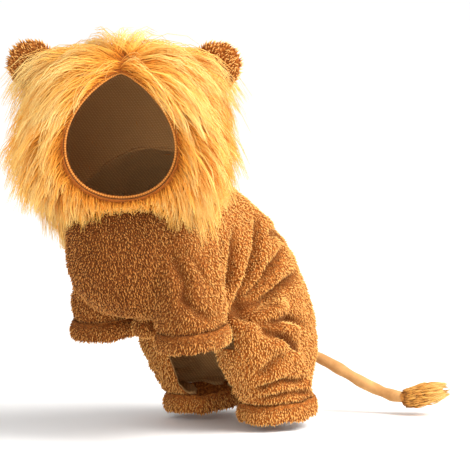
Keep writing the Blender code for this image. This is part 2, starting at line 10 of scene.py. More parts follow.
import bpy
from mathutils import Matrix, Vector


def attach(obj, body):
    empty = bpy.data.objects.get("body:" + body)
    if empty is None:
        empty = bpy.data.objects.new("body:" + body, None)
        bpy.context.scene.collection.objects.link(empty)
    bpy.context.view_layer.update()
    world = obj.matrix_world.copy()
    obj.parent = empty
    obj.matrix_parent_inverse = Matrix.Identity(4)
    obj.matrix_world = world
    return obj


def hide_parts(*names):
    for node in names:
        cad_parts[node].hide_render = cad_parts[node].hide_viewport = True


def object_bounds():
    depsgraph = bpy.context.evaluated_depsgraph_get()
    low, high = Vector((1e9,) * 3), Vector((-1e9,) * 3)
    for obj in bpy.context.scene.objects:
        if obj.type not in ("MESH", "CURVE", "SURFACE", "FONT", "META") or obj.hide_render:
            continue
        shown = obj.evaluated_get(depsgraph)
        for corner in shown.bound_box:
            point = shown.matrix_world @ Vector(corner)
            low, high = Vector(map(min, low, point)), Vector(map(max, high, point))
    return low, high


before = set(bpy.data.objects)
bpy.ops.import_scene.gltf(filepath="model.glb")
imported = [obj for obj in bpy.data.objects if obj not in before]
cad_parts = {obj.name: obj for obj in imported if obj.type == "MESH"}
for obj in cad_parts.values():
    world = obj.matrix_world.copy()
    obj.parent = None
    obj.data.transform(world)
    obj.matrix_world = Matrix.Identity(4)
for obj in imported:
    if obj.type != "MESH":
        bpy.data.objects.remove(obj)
solid_low, solid_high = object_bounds()
print("solid model, mm:", [round((b - a) * 1000, 1) for a, b in zip(solid_low, solid_high)])

# %% Tools for the rest of the lesson
import math
from contextlib import contextmanager

import bmesh
import bpy
import numpy as np
from mathutils import Matrix, Vector
from mathutils.bvhtree import BVHTree

MM = 0.001
rng = np.random.default_rng(11)
scene = bpy.context.scene


def linked(name, data):
    """A new object in the scene."""
    obj = bpy.data.objects.new(name, data)
    scene.collection.objects.link(obj)
    return obj


def looking_back(place):
    """The turn with which a camera or lamp looks along -place."""
    return (-place).to_track_quat("-Z", "Y").to_euler()


# %% [markdown]
# ## The camera
#
# It stands before the costume's front left corner, a little above it, and far off with a
# long lens, as for a picture in a shop's catalogue. Its frame is as wide as the picture's.

# %% Camera
VIEW_AZIMUTH, VIEW_ELEVATION = 45.0, 8.0
FRAME_WIDE = 470.0           # what the picture takes in, across
FRAME_RIGHT, FRAME_UP = 87.0, 200.0   # its middle, from the floor between the sleeves
CAMERA_FAR = 12000.0
SENSOR = 36.0
CLIP_END = 100.0             # metres


def make_camera(origin):
    """A camera whose frame is set in the plane through the origin that faces it."""
    a, e = math.radians(VIEW_AZIMUTH), math.radians(VIEW_ELEVATION)
    back = Vector((math.sin(a) * math.cos(e), -math.cos(a) * math.cos(e), math.sin(e)))
    right = Vector((math.cos(a), math.sin(a), 0.0))
    up = back.cross(right)
    made = bpy.data.cameras.new("camera")
    made.sensor_width = SENSOR
    made.lens = SENSOR * CAMERA_FAR / FRAME_WIDE
    made.clip_end = CLIP_END
    camera = linked("camera", made)
    spot = right * FRAME_RIGHT + up * FRAME_UP + back * CAMERA_FAR - origin
    camera.location = spot * MM
    camera.rotation_euler = looking_back(back)
    scene.camera = camera


# %% [markdown]
# ## Sizes
#
# The tables below are the solid model's own, so that the finer surfaces made here follow the
# same forms. They count from the floor between the sleeves, in shares of the body's sizes,
# and the origin is on the withers.

# %% Body, sleeve and leg tables
CLOTH = 3.0
SEAM = 0.3
BODY_LONG, BODY_TALL, BODY_WIDE = 302.0, 300.0, 126.0
BODY_SQUARE = 2.35
BODY_TABLE = (
    # front_y  front_z  back_y  back_z  half_wide
    (-0.260, 0.880, 0.048, 0.987, 0.373),
    (-0.297, 0.793, 0.199, 0.903, 0.430),
    (-0.321, 0.687, 0.334, 0.820, 0.476),
    (-0.307, 0.567, 0.455, 0.727, 0.500),
    (-0.231, 0.453, 0.580, 0.627, 0.500),
    (-0.073, 0.407, 0.655, 0.500, 0.484),
    (0.119, 0.420, 0.700, 0.360, 0.476),
    (0.228, 0.307, 0.711, 0.220, 0.476),
    (0.281, 0.153, 0.676, 0.067, 0.450),
)
WITHERS_ROW, RUMP_ROW = 2, 7
SLEEVE_WIDE, LEG_WIDE = 68.0, 76.0
LIMB_SQUARE = 2.2
SLEEVE_TABLE = (
    # side_x  y  z  half_across  half_along  tilt
    (0.254, 0.010, 0.790, 0.300, 0.500, 0.00),
    (0.330, 0.010, 0.710, 0.400, 0.600, 0.00),
    (0.386, 0.008, 0.617, 0.455, 0.625, 0.00),
    (0.436, 0.007, 0.500, 0.485, 0.610, 0.06),
    (0.476, 0.010, 0.380, 0.480, 0.540, 0.14),
)
LEG_TABLE = (
    (0.246, 0.322, 0.487, 0.270, 0.450, 0.00),
    (0.365, 0.316, 0.400, 0.455, 0.575, 0.00),
    (0.413, 0.322, 0.310, 0.500, 0.610, 0.00),
    (0.421, 0.358, 0.217, 0.513, 0.610, 0.00),
    (0.413, 0.392, 0.155, 0.480, 0.585, 0.04),
    (0.413, 0.412, 0.125, 0.500, 0.600, 0.06),
    (0.413, 0.434, 0.093, 0.447, 0.540, 0.08),
)
ORIGIN = np.array([
    0.0,
    BODY_TABLE[WITHERS_ROW][2] * BODY_LONG,
    BODY_TABLE[WITHERS_ROW][3] * BODY_TALL - CLOTH,
])
make_camera(Vector(ORIGIN))
print("camera lens, mm:", round(scene.camera.data.lens, 1))


# %% Curves through the tables
def smooth_rows(rows, count):
    """count rows on a smooth curve through the given rows."""
    rows = np.asarray(rows, float)
    ends = np.vstack([2 * rows[0] - rows[1], rows, 2 * rows[-1] - rows[-2]])
    found = []
    for place in np.linspace(0, len(rows) - 1, count):
        i = min(int(place), len(rows) - 2)
        t = place - i
        a, b, c, d = ends[i : i + 4]
        curve = 2 * b + (c - a) * t + (2 * a - 5 * b + 4 * c - d) * t**2 + (3 * b - a - 3 * c + d) * t**3
        found.append(curve / 2)
    return np.array(found)


def body_point(y_share, z_share, x_share=0.0):
    return np.array([x_share * BODY_WIDE, y_share * BODY_LONG, z_share * BODY_TALL])


def body_sections(count):
    """(centres, half widths across, half depths along) of the body's sections."""
    rows = smooth_rows(BODY_TABLE, count)
    front = np.array([body_point(r[0], r[1]) for r in rows])
    back = np.array([body_point(r[2], r[3]) for r in rows])
    across = np.zeros((count, 3))
    across[:, 0] = rows[:, 4] * BODY_WIDE
    return (front + back) / 2, across, (back - front) / 2


def limb_sections(table, wide, side, count):
    """The sections of a sleeve or leg on the side +1 or -1."""
    rows = smooth_rows(table, count)
    centres = np.array([body_point(r[1], r[2], side * r[0]) for r in rows])
    across = np.zeros((count, 3))
    across[:, 0] = rows[:, 3] * wide
    along = np.zeros((count, 3))
    along[:, 1] = rows[:, 4] * wide
    along[:, 2] = rows[:, 4] * wide * rows[:, 5]
    return centres, across, along


def unit(rows):
    """A vector, or rows of vectors, brought to length one."""
    if rows.ndim == 1:
        return rows / np.linalg.norm(rows)
    return rows / np.linalg.norm(rows, axis=-1, keepdims=True)


def round_off(turn, square):
    """Cosine and sine of a turn round an oval that is a little square."""
    c, s = math.cos(turn), math.sin(turn)
    return math.copysign(abs(c) ** (2 / square), c), math.copysign(abs(s) ** (2 / square), s)


def section_grid(sections, around, square, offset=0.0):
    """Rings of points of a tube through the sections."""
    rings = []
    for centre, u, v in zip(*sections):
        ring = []
        wider, deeper = 1 + offset / np.linalg.norm(u), 1 + offset / np.linalg.norm(v)
        for k in range(around):
            c, s = round_off(2 * math.pi * k / around, square)
            ring.append(centre + c * u * wider + s * v * deeper)
        rings.append(ring)
    return np.array(rings)


# %% [markdown]
# ## Mesh helpers
#
# Lofted tubes start most pieces here. Points are worked out in millimetres from the floor, and
# turned into metres from the withers when the mesh is made. numpy reads and moves all points of
# a mesh at once, which keeps the lesson quick.

# %% Make, read and move meshes
def to_frame(points):
    """Millimetres from the floor to metres from the withers."""
    return (np.asarray(points, float) - ORIGIN) * MM


def to_floor(points):
    """Metres from the withers to millimetres from the floor."""
    return np.asarray(points, float) / MM + ORIGIN


def points_of(mesh):
    found = np.empty(len(mesh.vertices) * 3)
    mesh.vertices.foreach_get("co", found)
    return found.reshape(-1, 3)


def normals_of(mesh):
    found = np.empty(len(mesh.vertices) * 3, np.float32)
    mesh.vertex_normals.foreach_get("vector", found)
    return found.reshape(-1, 3).astype(float)


def move_to(mesh, points):
    mesh.vertices.foreach_set("co", np.asarray(points, float).ravel())
    mesh.update()


def note(mesh, name, values):
    """Stores a number or a vector on every point of a mesh."""
    values = np.asarray(values, np.float32)
    kind, field = ("FLOAT", "value") if values.ndim == 1 else ("FLOAT_VECTOR", "vector")
    mesh.attributes.new(name, kind, "POINT").data.foreach_set(field, values.ravel())


def dress(mesh, *materials):
    """Gives a mesh those materials only."""
    mesh.materials.clear()
    for material in materials:
        mesh.materials.append(material)


def all_faces(mesh, index):
    """Gives every face of a mesh its material with that index."""
    mesh.polygons.foreach_set("material_index", [index] * len(mesh.polygons))


@contextmanager
def edited(mesh, *sources):
    """A bmesh with the sources' faces, written to the mesh at the end."""
    made = bmesh.new()
    for source in sources:
        made.from_mesh(source)
    yield made
    made.to_mesh(mesh)
    made.free()


def ball(name, around, rings):
    mesh = bpy.data.meshes.new(name)
    with edited(mesh) as made:
        bmesh.ops.create_uvsphere(made, u_segments=around, v_segments=rings, radius=1.0)
    return mesh


def grid_mesh(name, grid, ends="capped"):
    """A mesh of quads on rings of points in millimetres. ends is open, capped or joined."""
    count, around = len(grid), len(grid[0])
    points = list(to_frame(np.asarray(grid).reshape(-1, 3)))
    faces = []
    rows = [(i, i + 1) for i in range(count - 1)]
    if ends == "joined":
        rows.append((count - 1, 0))
    for low, high in rows:
        for k in range(around):
            after = (k + 1) % around
            first, last = low * around, high * around
            faces.append((first + k, first + after, last + after, last + k))
    if ends == "capped":
        for ring in (0, count - 1):
            points.append(to_frame(np.mean(grid[ring], axis=0)))
            for k in range(around):
                faces.append((ring * around + k, ring * around + (k + 1) % around, len(points) - 1))
    mesh = bpy.data.meshes.new(name)
    mesh.from_pydata([tuple(p) for p in points], [], faces)
    return turn_out(mesh)


def turn_out(mesh):
    """Points the faces of a closed mesh outwards and shades it smooth."""
    with edited(mesh, mesh) as made:
        bmesh.ops.recalc_face_normals(made, faces=made.faces)
    mesh.shade_smooth()
    return mesh


def applied(obj):
    """Applies an object's modifiers to its mesh."""
    bpy.context.view_layer.update()
    graph = bpy.context.evaluated_depsgraph_get()
    mesh = bpy.data.meshes.new_from_object(obj.evaluated_get(graph))
    obj.modifiers.clear()
    old, obj.data = obj.data, mesh
    bpy.data.meshes.remove(old)
    mesh.name = obj.name
    mesh.shade_smooth()
    return obj


def drop(*objs):
    for obj in objs:
        bpy.data.objects.remove(obj)


def remesh(obj, size):
    """Makes one even skin round everything in a mesh."""
    made = obj.modifiers.new("remesh", "REMESH")
    made.mode = "VOXEL"
    made.voxel_size = size * MM
    return applied(obj)


def relax(mesh, rounds, share=0.5, keep=None):
    """Moves each point towards the middle of its neighbours, less where keep is near 1."""
    edges = np.empty(len(mesh.edges) * 2, np.int64)
    mesh.edges.foreach_get("vertices", edges)
    a, b = edges.reshape(-1, 2).T
    points = points_of(mesh)
    count = np.bincount(np.concatenate([a, b]), minlength=len(points))[:, None]
    loose = share if keep is None else share * (1 - keep)[:, None]
    for _ in range(rounds):
        total = np.zeros_like(points)
        np.add.at(total, a, points[b])
        np.add.at(total, b, points[a])
        points += (total / count - points) * loose
    move_to(mesh, points)
    return mesh


def cut(obj, *cutters):
    """Cuts solids out of a solid. The new faces take material index 1."""
    for cutter in cutters:
        made = obj.modifiers.new("cut", "BOOLEAN")
        made.operation = "DIFFERENCE"
        made.solver = "MANIFOLD"
        made.object = cutter
    return applied(obj)


def as_cutter(obj):
    """Marks all of a cutter's faces, so that what it cuts can be told apart."""
    dress(obj.data, blank, blank)
    all_faces(obj.data, 1)
    obj.hide_render = True
    return obj


def surface_tree(mesh):
    return BVHTree.FromPolygons([v.co for v in mesh.vertices], [p.vertices[:] for p in mesh.polygons])


# %% [markdown]
# ## Node helpers
#
# Shader trees and Geometry Nodes trees are wired in the same way: make a node, give each input a
# value or another node's output. One helper does both.

# %% Wire nodes
def wire(tree, kind, inputs=None, **settings):
    """Adds a node. inputs maps a socket's name or number to a value, or to the output that feeds it."""
    made = tree.nodes.new(kind)
    for key, value in settings.items():
        setattr(made, key, value)
    for key, value in (inputs or {}).items():
        socket = made.inputs[key]
        if isinstance(value, bpy.types.NodeSocket):
            tree.links.new(value, socket)
        else:
            socket.default_value = value
    return made


def maths(tree, operation, *values):
    return wire(tree, "ShaderNodeMath", dict(enumerate(values)), operation=operation).outputs[0]


def vectors(tree, operation, *values):
    made = wire(tree, "ShaderNodeVectorMath", dict(enumerate(values)), operation=operation)
    return made.outputs["Value" if operation in ("LENGTH", "DOT_PRODUCT", "DISTANCE") else "Vector"]


def ramp(tree, feed, stops, smooth=False):
    """A colour ramp with (place, colour) stops."""
    made = wire(tree, "ShaderNodeValToRGB", {0: feed})
    made.color_ramp.interpolation = "EASE" if smooth else "LINEAR"
    points = made.color_ramp.elements
    while len(points) < len(stops):
        points.new(0.5)
    for point, (place, colour) in zip(points, stops):
        point.position = place
        point.color = (*colour, 1.0)
    return made.outputs["Color"]


GLOSS_TINT = (1.0, 0.72, 0.36, 1.0)


def new_material(name, roughness, sheen=0.0, **more):
    """A matt cloth. more gives further sockets, by their names with _ for each space."""
    made = bpy.data.materials.new(name)
    made.use_nodes = True
    shader = made.node_tree.nodes["Principled BSDF"]
    values = {
        "Roughness": roughness, "Specular_IOR_Level": 0.25, "Specular_Tint": GLOSS_TINT,
        "Sheen_Weight": sheen, "Sheen_Roughness": 0.45, "Sheen_Tint": GLOSS_TINT, **more,
    }
    for socket, value in values.items():
        shader.inputs[socket.replace("_", " ")].default_value = value
    return made, made.node_tree, shader


def mixed(tree, share, first, second, blend="MIX"):
    made = tree.nodes.new("ShaderNodeMix")
    made.data_type = "RGBA"
    made.blend_type = blend
    for socket, value in ((made.inputs[0], share), (made.inputs[6], first), (made.inputs[7], second)):
        if isinstance(value, bpy.types.NodeSocket):
            tree.links.new(value, socket)
        else:
            socket.default_value = value if isinstance(value, float) else (*value, 1.0)
    return made.outputs[2]


def noise(tree, where, scale, detail=2.0, rough=0.5):
    return wire(tree, "ShaderNodeTexNoise", {"Vector": where, "Scale": scale, "Detail": detail,
                                             "Roughness": rough}).outputs[0]


def bumped(tree, shader, height, strength, distance):
    made = wire(tree, "ShaderNodeBump", {"Height": height, "Strength": strength, "Distance": distance})
    tree.links.new(made.outputs["Normal"], shader.inputs["Normal"])


def painted(tree, shader, colour):
    tree.links.new(colour, shader.inputs["Base Color"])


def clamped(tree, value):
    return wire(tree, "ShaderNodeClamp", {0: value}).outputs[0]


def waves(tree, where, scale, distortion, direction):
    inputs = {"Vector": where, "Scale": scale, "Distortion": distortion, "Detail": 1.0}
    return wire(tree, "ShaderNodeTexWave", inputs, bands_direction=direction).outputs["Fac"]


# %% [markdown]
# ## Finishes
#
# Plush is a knit with a deep, soft pile. Its roots lie in shade and look dark brown, and its
# tips catch the light and look gold. So the pile's colour follows an attribute that runs from 0
# at a tuft's root to 1 at its tip, and a second one that gives each tuft its own shade. The knit
# under it shows between the tufts, so it gets the roots' colours and a fine, clotted bump.

# %% Colours
KNIT_DARK = (0.050, 0.012, 0.003)
ROOT_BROWN = (0.110, 0.027, 0.005)
PILE_BROWN = (0.330, 0.090, 0.015)
PILE_GOLD = (0.740, 0.325, 0.075)
TIP_GOLD = (0.960, 0.560, 0.190)
KNIT_TAN = (0.640, 0.390, 0.170)
KNIT_SHADE = (0.400, 0.210, 0.080)
HAIR_ROOT = (0.420, 0.110, 0.012)
HAIR_ORANGE = (0.950, 0.370, 0.042)
HAIR_GOLD = (1.000, 0.610, 0.130)
HAIR_PALE = (1.000, 0.790, 0.330)
SUEDE_TAN = (0.600, 0.330, 0.130)
SUEDE_SHADE = (0.360, 0.170, 0.058)


# %% Plush
NAP_AND_PAINTED_LIGHT = (
    # axis  from  to, in metres from the withers, and how light the plush is at either end, from its nap
    # and from painted light and shade
    ("Y", -0.155, -0.030, -0.60, 0.62),
    ("Z", 0.060, 0.110, 0.0, 0.75),
)
KNIT_LIGHTER = 0.8     # how much lighter the knit is taken than the nap and the painted light say
# how strongly the knit and the pile get painted shade in folds and in the seams above the cuffs
KNIT_FOLD_SHADE, PILE_FOLD_SHADE = 0.8, 1.15


def object_place(tree):
    return wire(tree, "ShaderNodeTexCoord").outputs["Object"]


def named(tree, name):
    return wire(tree, "ShaderNodeAttribute", attribute_name=name).outputs["Fac"]


def nap_and_painted_light(tree, where):
    """How light the plush is, from its nap and from painted light and shade: dark on the chest, light on
    the back and the ears.
    """
    place = wire(tree, "ShaderNodeSeparateXYZ", {0: where})
    tones = []
    for axis, low, high, first, last in NAP_AND_PAINTED_LIGHT:
        inputs = {"Value": place.outputs[axis], "From Min": low, "From Max": high,
                  "To Min": first, "To Max": last}
        tones.append(wire(tree, "ShaderNodeMapRange", inputs).outputs[0])
    return maths(tree, "ADD", *tones)


# Painted shade: draws a colour towards the roots' brown where the named attribute says the cloth lies
# down in a fold or in the seam above a cuff
def painted_fold_shade(tree, colour, attribute, strength):
    deep = maths(tree, "MULTIPLY", named(tree, attribute), strength)
    return mixed(tree, deep, colour, ROOT_BROWN)


def make_plush_knit():
    """The cloth that carries the pile, as it shows between the tufts."""
    made, tree, shader = new_material("plush_knit", 0.95, 0.05)
    where = object_place(tree)
    clots = noise(tree, where, 420.0, 3.0, 0.6)
    dark = ramp(tree, clots, ((0.30, KNIT_DARK), (0.58, ROOT_BROWN), (0.80, PILE_BROWN)))
    light = ramp(tree, clots, ((0.30, ROOT_BROWN), (0.52, PILE_BROWN), (0.76, PILE_GOLD)))
    # the knit takes the plush's painted light and shade too
    share = clamped(tree, maths(tree, "ADD", nap_and_painted_light(tree, where), KNIT_LIGHTER))
    colour = mixed(tree, share, dark, light)
    painted(tree, shader, painted_fold_shade(tree, colour, "fold_shade", KNIT_FOLD_SHADE))
    bumped(tree, shader, clots, 0.9, 0.0018)
    return made


def make_plush_pile():
    """The tufts: dark at the root, gold at the tip, no two quite alike."""
    made, tree, shader = new_material("plush_pile", 0.80, 0.12)
    along = named(tree, "tuft_along")
    shade = named(tree, "tuft_shade")
    dark = ramp(tree, along, ((0.0, ROOT_BROWN), (0.45, PILE_BROWN), (0.9, PILE_GOLD)))
    light = ramp(tree, along, ((0.0, PILE_BROWN), (0.4, PILE_GOLD), (0.9, TIP_GOLD)))
    where = object_place(tree)
    patches = noise(tree, where, 22.0, 2.0)
    share = maths(tree, "ADD", maths(tree, "MULTIPLY", shade, 0.7), maths(tree, "MULTIPLY", patches, 0.4))
    # the nap's tone, with painted light and shade, is added to each tuft's random tone
    share = clamped(tree, maths(tree, "ADD", share, nap_and_painted_light(tree, where)))
    colour = mixed(tree, share, dark, light)
    painted(tree, shader, painted_fold_shade(tree, colour, "tuft_fold_shade", PILE_FOLD_SHADE))
    return made


def make_knit_backing():
    """The inside of the cloth: rows of fine loops, worn a little darker here and there."""
    made, tree, shader = new_material("knit_backing", 0.92, 0.15)
    where = object_place(tree)
    rows = waves(tree, where, 190.0, 1.2, "Z")
    loops = maths(tree, "MULTIPLY", rows, waves(tree, where, 150.0, 1.5, "DIAGONAL"))
    worn = noise(tree, where, 35.0, 3.0)
    colour = mixed(tree, loops, KNIT_SHADE, KNIT_TAN)
    colour = mixed(tree, maths(tree, "MULTIPLY", worn, 0.4), colour, KNIT_SHADE)
    painted(tree, shader, colour)
    bumped(tree, shader, loops, 0.6, 0.0008)
    return made


blank = bpy.data.materials.new("blank")
plush_knit = make_plush_knit()
plush_pile = make_plush_pile()
knit_backing = make_knit_backing()
print("plush:", plush_knit.name, plush_pile.name, knit_backing.name)


# %% Hair, suede and binding
def make_hair(name, root, middle, light, tip):
    """Long hair: deep at the root, pale at the tip, in streaks of a few shades."""
    made, tree, shader = new_material(name, 0.50, 0.05, Specular_IOR_Level=0.18)
    along = named(tree, "hair_along")
    shade = named(tree, "hair_shade")
    deep = ramp(tree, along, ((0.0, root), (0.30, middle), (0.65, middle), (1.0, light)))
    pale = ramp(tree, along, ((0.0, root), (0.14, middle), (0.34, light), (0.80, tip)))
    colour = mixed(tree, shade, deep, pale)
    streaks = noise(tree, object_place(tree), 60.0, 2.0)
    colour = mixed(tree, maths(tree, "MULTIPLY", streaks, 0.25), colour, middle)
    painted(tree, shader, colour)
    return made


def make_backing_fur():
    """What shows between the hairs, down at their roots. Its dark browns are painted shade, matching the
    shade among the hairs' roots.
    """
    made, tree, shader = new_material("mane_backing_fur", 0.9, 0.2)
    where = object_place(tree)
    clots = noise(tree, where, 260.0, 3.0)
    painted(tree, shader, ramp(tree, clots, ((0.3, PILE_BROWN), (0.8, HAIR_ROOT))))
    bumped(tree, shader, clots, 0.8, 0.002)
    return made


def make_suede():
    """Short velveteen, brushed in patches, with a finer grain than the plush."""
    made, tree, shader = new_material("tail_velveteen", 0.85, 0.5)
    where = object_place(tree)
    brushed = noise(tree, where, 45.0, 4.0, 0.6)
    grain = noise(tree, where, 900.0, 2.0)
    colour = ramp(tree, brushed, ((0.25, SUEDE_SHADE), (0.6, SUEDE_TAN), (0.85, HAIR_GOLD)))
    colour = mixed(tree, maths(tree, "MULTIPLY", grain, 0.35), colour, SUEDE_SHADE)
    painted(tree, shader, colour)
    bumped(tree, shader, grain, 0.35, 0.0006)
    return made


def make_binding_cloth():
    """A narrow rib knit, folded over the edge: its ribs run across the strip. Its browns are darkened as
    painted shade, so that the opening's edge reads as a shadowed line.
    """
    made, tree, shader = new_material("binding_rib", 0.88, 0.3)
    ribs = named(tree, "rib")
    # painted shade: the strip's browns stand for the shadowed edge of the opening
    painted(tree, shader, mixed(tree, ribs, HAIR_ROOT, PILE_GOLD))
    bumped(tree, shader, ribs, 0.5, 0.0005)
    return made


mane_hair = make_hair("mane_hair", HAIR_ROOT, HAIR_ORANGE, HAIR_GOLD, HAIR_PALE)
tuft_hair = make_hair("tuft_hair", ROOT_BROWN, PILE_GOLD, HAIR_GOLD, HAIR_PALE)
backing_fur = make_backing_fur()
tail_velveteen = make_suede()
binding_rib = make_binding_cloth()
stitch_thread = new_material("stitch_thread", 0.6, Base_Color=(*PILE_BROWN, 1.0))[0]
print("finishes:", len(bpy.data.materials))

# %% [markdown]
# ## The suit's form
#
# The suit is cut and sewn from flat plush, but filled out and sitting it reads as one soft
# skin: a barrel, two wide sleeves and two full thighs that run into each other at the seams.
# Lofts through the tables give those five forms, a voxel remesh joins them, and a few rounds of
# relaxing let the seams sink in. That is quicker and steadier than a cloth simulation of a whole
# suit, which would need a form to drape over. A web of slack cloth hangs between the sleeves.

# %% Closed forms
BODY_STEPS, BODY_AROUND = 64, 72
LIMB_STEPS, LIMB_AROUND = 40, 48
SKIN = 3.2             # size of the remeshed skin's faces
PILE_DEEP = 2.4        # how far the knit lies inside the pile's tips
WEB_MIDDLE = np.array([0.0, 4.0, 110.0])   # the slack cloth between the sleeves
WEB_HALF = np.array([18.0, 19.0, 12.5])


def solid_form(name, sections, around, square):
    return linked(name, grid_mesh(name, section_grid(sections, around, square, -PILE_DEEP)))


def joined(name, objs):
    """One object with the meshes of several."""
    mesh = bpy.data.meshes.new(name)
    with edited(mesh, *[obj.data for obj in objs]):
        drop(*objs)
    return linked(name, mesh)


def web_form():
    """The slack of the chest that hangs between the sleeves."""
    mesh = ball("web", 24, 16)
    move_to(mesh, to_frame(points_of(mesh) * WEB_HALF + WEB_MIDDLE))
    return linked("web", mesh)


def suit_forms():
    barrel = solid_form("barrel", body_sections(BODY_STEPS), BODY_AROUND, BODY_SQUARE)
    forms = [barrel, web_form()]
    for side in (1, -1):
        for table, wide in ((SLEEVE_TABLE, SLEEVE_WIDE), (LEG_TABLE, LEG_WIDE)):
            sections = limb_sections(table, wide, side, LIMB_STEPS)
            forms.append(solid_form("limb", sections, LIMB_AROUND, LIMB_SQUARE))
    return forms


suit = joined("suit", suit_forms())
remesh(suit, SKIN)
relax(suit.data, 5)
print("suit skin faces:", len(suit.data.polygons))

# %% [markdown]
# ## Folds
#
# The plush is thick, so its folds are few and round. Behind the front sleeve they fan out over
# the flank from one point, because the sitting pose shortens the cloth there. More lie where the
# thigh folds against the flank, at the armpits, across the back's small, and round the hind
# cuffs, where the spare length bunches up.
#
# Each fold is a line on the side view with a width and a depth. The skin sinks along the line
# and swells a little on both sides of it.

# %% Fold lines on the flanks
FOLD_DARK = 5.0        # depth at which a fold's floor gets its full painted shade and its pile is shortest
HEM_HIGH, HEM_FADE = 26.0, 9.0   # height of the hind cuffs' seams, and how far above it folds start
FOLD_SWELL = 0.42      # how high the cloth swells beside a fold, in shares of its depth
SWELL_AWAY = 1.7       # how far from the line it swells most, in shares of the fold's half width
FOLD_RISE, FOLD_FALL = 0.12, 0.35   # shares of its length over which a fold starts and ends
START_DEEP = 0.5       # how deep it is right at its start
FLANK_FRONT = 44.0     # the flank's folds start behind this y
SLEEVE_OUTSIDE = 62.0  # and the sleeves' folds lie outside this x
FLANK_FOLDS = (
    # half_wide  depth  (y, z) points
    (6.5, 11.5, ((60, 127), (78, 158), (102, 200), (116, 218))),
    (6.0, 12.5, ((64, 124), (96, 150), (129, 172), (150, 182))),
    (6.0, 12.0, ((66, 121), (112, 137), (153, 148), (176, 151))),
    (5.5, 9.5, ((60, 116), (92, 114), (134, 110), (176, 97))),
    (6.5, 6.5, ((52, 150), (58, 185), (66, 214))),
    (6.0, 10.5, ((78, 107), (112, 94), (138, 74), (156, 46), (161, 28))),
    (6.5, 4.5, ((120, 196), (150, 190), (168, 176))),
)
THIGH_FOLDS = (
    (6.0, 4.0, ((78, 62), (98, 78), (128, 84))),
    (4.5, 6.0, ((82, 46), (104, 53), (128, 50), (150, 56))),
    (4.0, 6.0, ((86, 36), (118, 40), (146, 37), (160, 44))),
    (6.0, 3.0, ((96, 112), (112, 96), (118, 80))),
)
SLEEVE_FOLDS = (
    (6.0, 4.5, ((-30, 196), (-24, 165), (-26, 134))),
    (6.0, 4.0, ((-28, 150), (-12, 133), (8, 126))),
    (6.0, 4.0, ((36, 196), (30, 168), (34, 140))),
    (5.0, 3.0, ((-20, 196), (-6, 178), (2, 158))),
)


def line_distance(points, line):
    """Distance of flat points from a chain of straight runs, and the share of its length passed."""
    line = np.asarray(line, float)
    runs = np.linalg.norm(np.diff(line, axis=0), axis=1)
    before = np.concatenate([[0], np.cumsum(runs)])
    best = np.full(len(points), 1e9)
    passed = np.zeros(len(points))
    for i, (a, b) in enumerate(zip(line, line[1:])):
        run = b - a
        t = np.clip(((points - a) @ run) / (run @ run), 0, 1)
        far = np.linalg.norm(points - (a + t[:, None] * run), axis=1)
        nearer = far < best
        best[nearer] = far[nearer]
        passed[nearer] = (before[i] + t[nearer] * runs[i]) / before[-1]
    return best, passed


def fold_depth(flat, half_wide, depth, line):
    """How far a fold moves the skin in: deep on the line, negative beside it, gone at its ends."""
    far, passed = line_distance(flat, smooth_rows(line, 3 * len(line)))
    groove = np.exp(-((far / half_wide) ** 2))
    swell = np.exp(-(((far - SWELL_AWAY * half_wide) / half_wide) ** 2))
    fade = np.clip(np.minimum(passed / FOLD_RISE + START_DEEP, (1 - passed) / FOLD_FALL), 0, 1)
    return depth * (groove - FOLD_SWELL * swell) * fade


def sideways(normals):
    """How much the skin faces sideways, from 0 at the spine and the belly to 1 on the flank."""
    return np.clip((np.abs(normals[:, 0]) - 0.15) / 0.45, 0, 1)


def folds_at(mesh):
    """How deep the folds are at each point of a skin, in millimetres."""
    spots = to_floor(points_of(mesh))
    flat, flank = spots[:, 1:], sideways(normals_of(mesh))
    depth = np.zeros(len(spots))
    for folds, share in (
        (FLANK_FOLDS, flank * (spots[:, 1] > FLANK_FRONT)),
        (THIGH_FOLDS, flank),
        (SLEEVE_FOLDS, flank * (np.abs(spots[:, 0]) > SLEEVE_OUTSIDE)),
    ):
        for half_wide, deep, line in folds:
            depth += fold_depth(flat, half_wide, deep, line) * share
    return depth * np.clip((spots[:, 2] - HEM_HIGH) / HEM_FADE, 0, 1)


fold_now = folds_at(suit.data)
move_to(suit.data, points_of(suit.data) - normals_of(suit.data) * fold_now[:, None] * MM)
relax(suit.data, 1)
print("deepest fold, mm:", round(float(fold_now.max()), 1))


# %% Uneven fullness
FULLNESS = (
    # high  waves  longest  seed
    (1.0, 6, 90.0, 3),
    (0.5, 8, 34.0, 4),
)


def slow_waves(spots, count, longest, seed):
    """A smooth field of about -1 to 1 from a few plane waves in random directions."""
    dice = np.random.default_rng(seed)
    field = np.zeros(len(spots))
    for _ in range(count):
        way = unit(dice.normal(size=3))
        length = longest * dice.uniform(0.45, 1.0)
        field += np.sin(spots @ way * 2 * math.pi / length + dice.uniform(0, 6.3))
    return field / math.sqrt(count)


spots = to_floor(points_of(suit.data))
fullness = sum(high * slow_waves(spots, *rest) for high, *rest in FULLNESS)
move_to(suit.data, points_of(suit.data) + normals_of(suit.data) * fullness[:, None] * MM)
print("fullness, mm:", round(float(fullness.min()), 1), "to", round(float(fullness.max()), 1))

# %% [markdown]
# ## Openings
#
# The suit is open at its neck, under the belly, and at the end of each sleeve and leg. Closed
# cutters take those out of the closed skin, the faces that the cutters leave are deleted, and
# Solidify then gives the open skin its thickness, inwards.

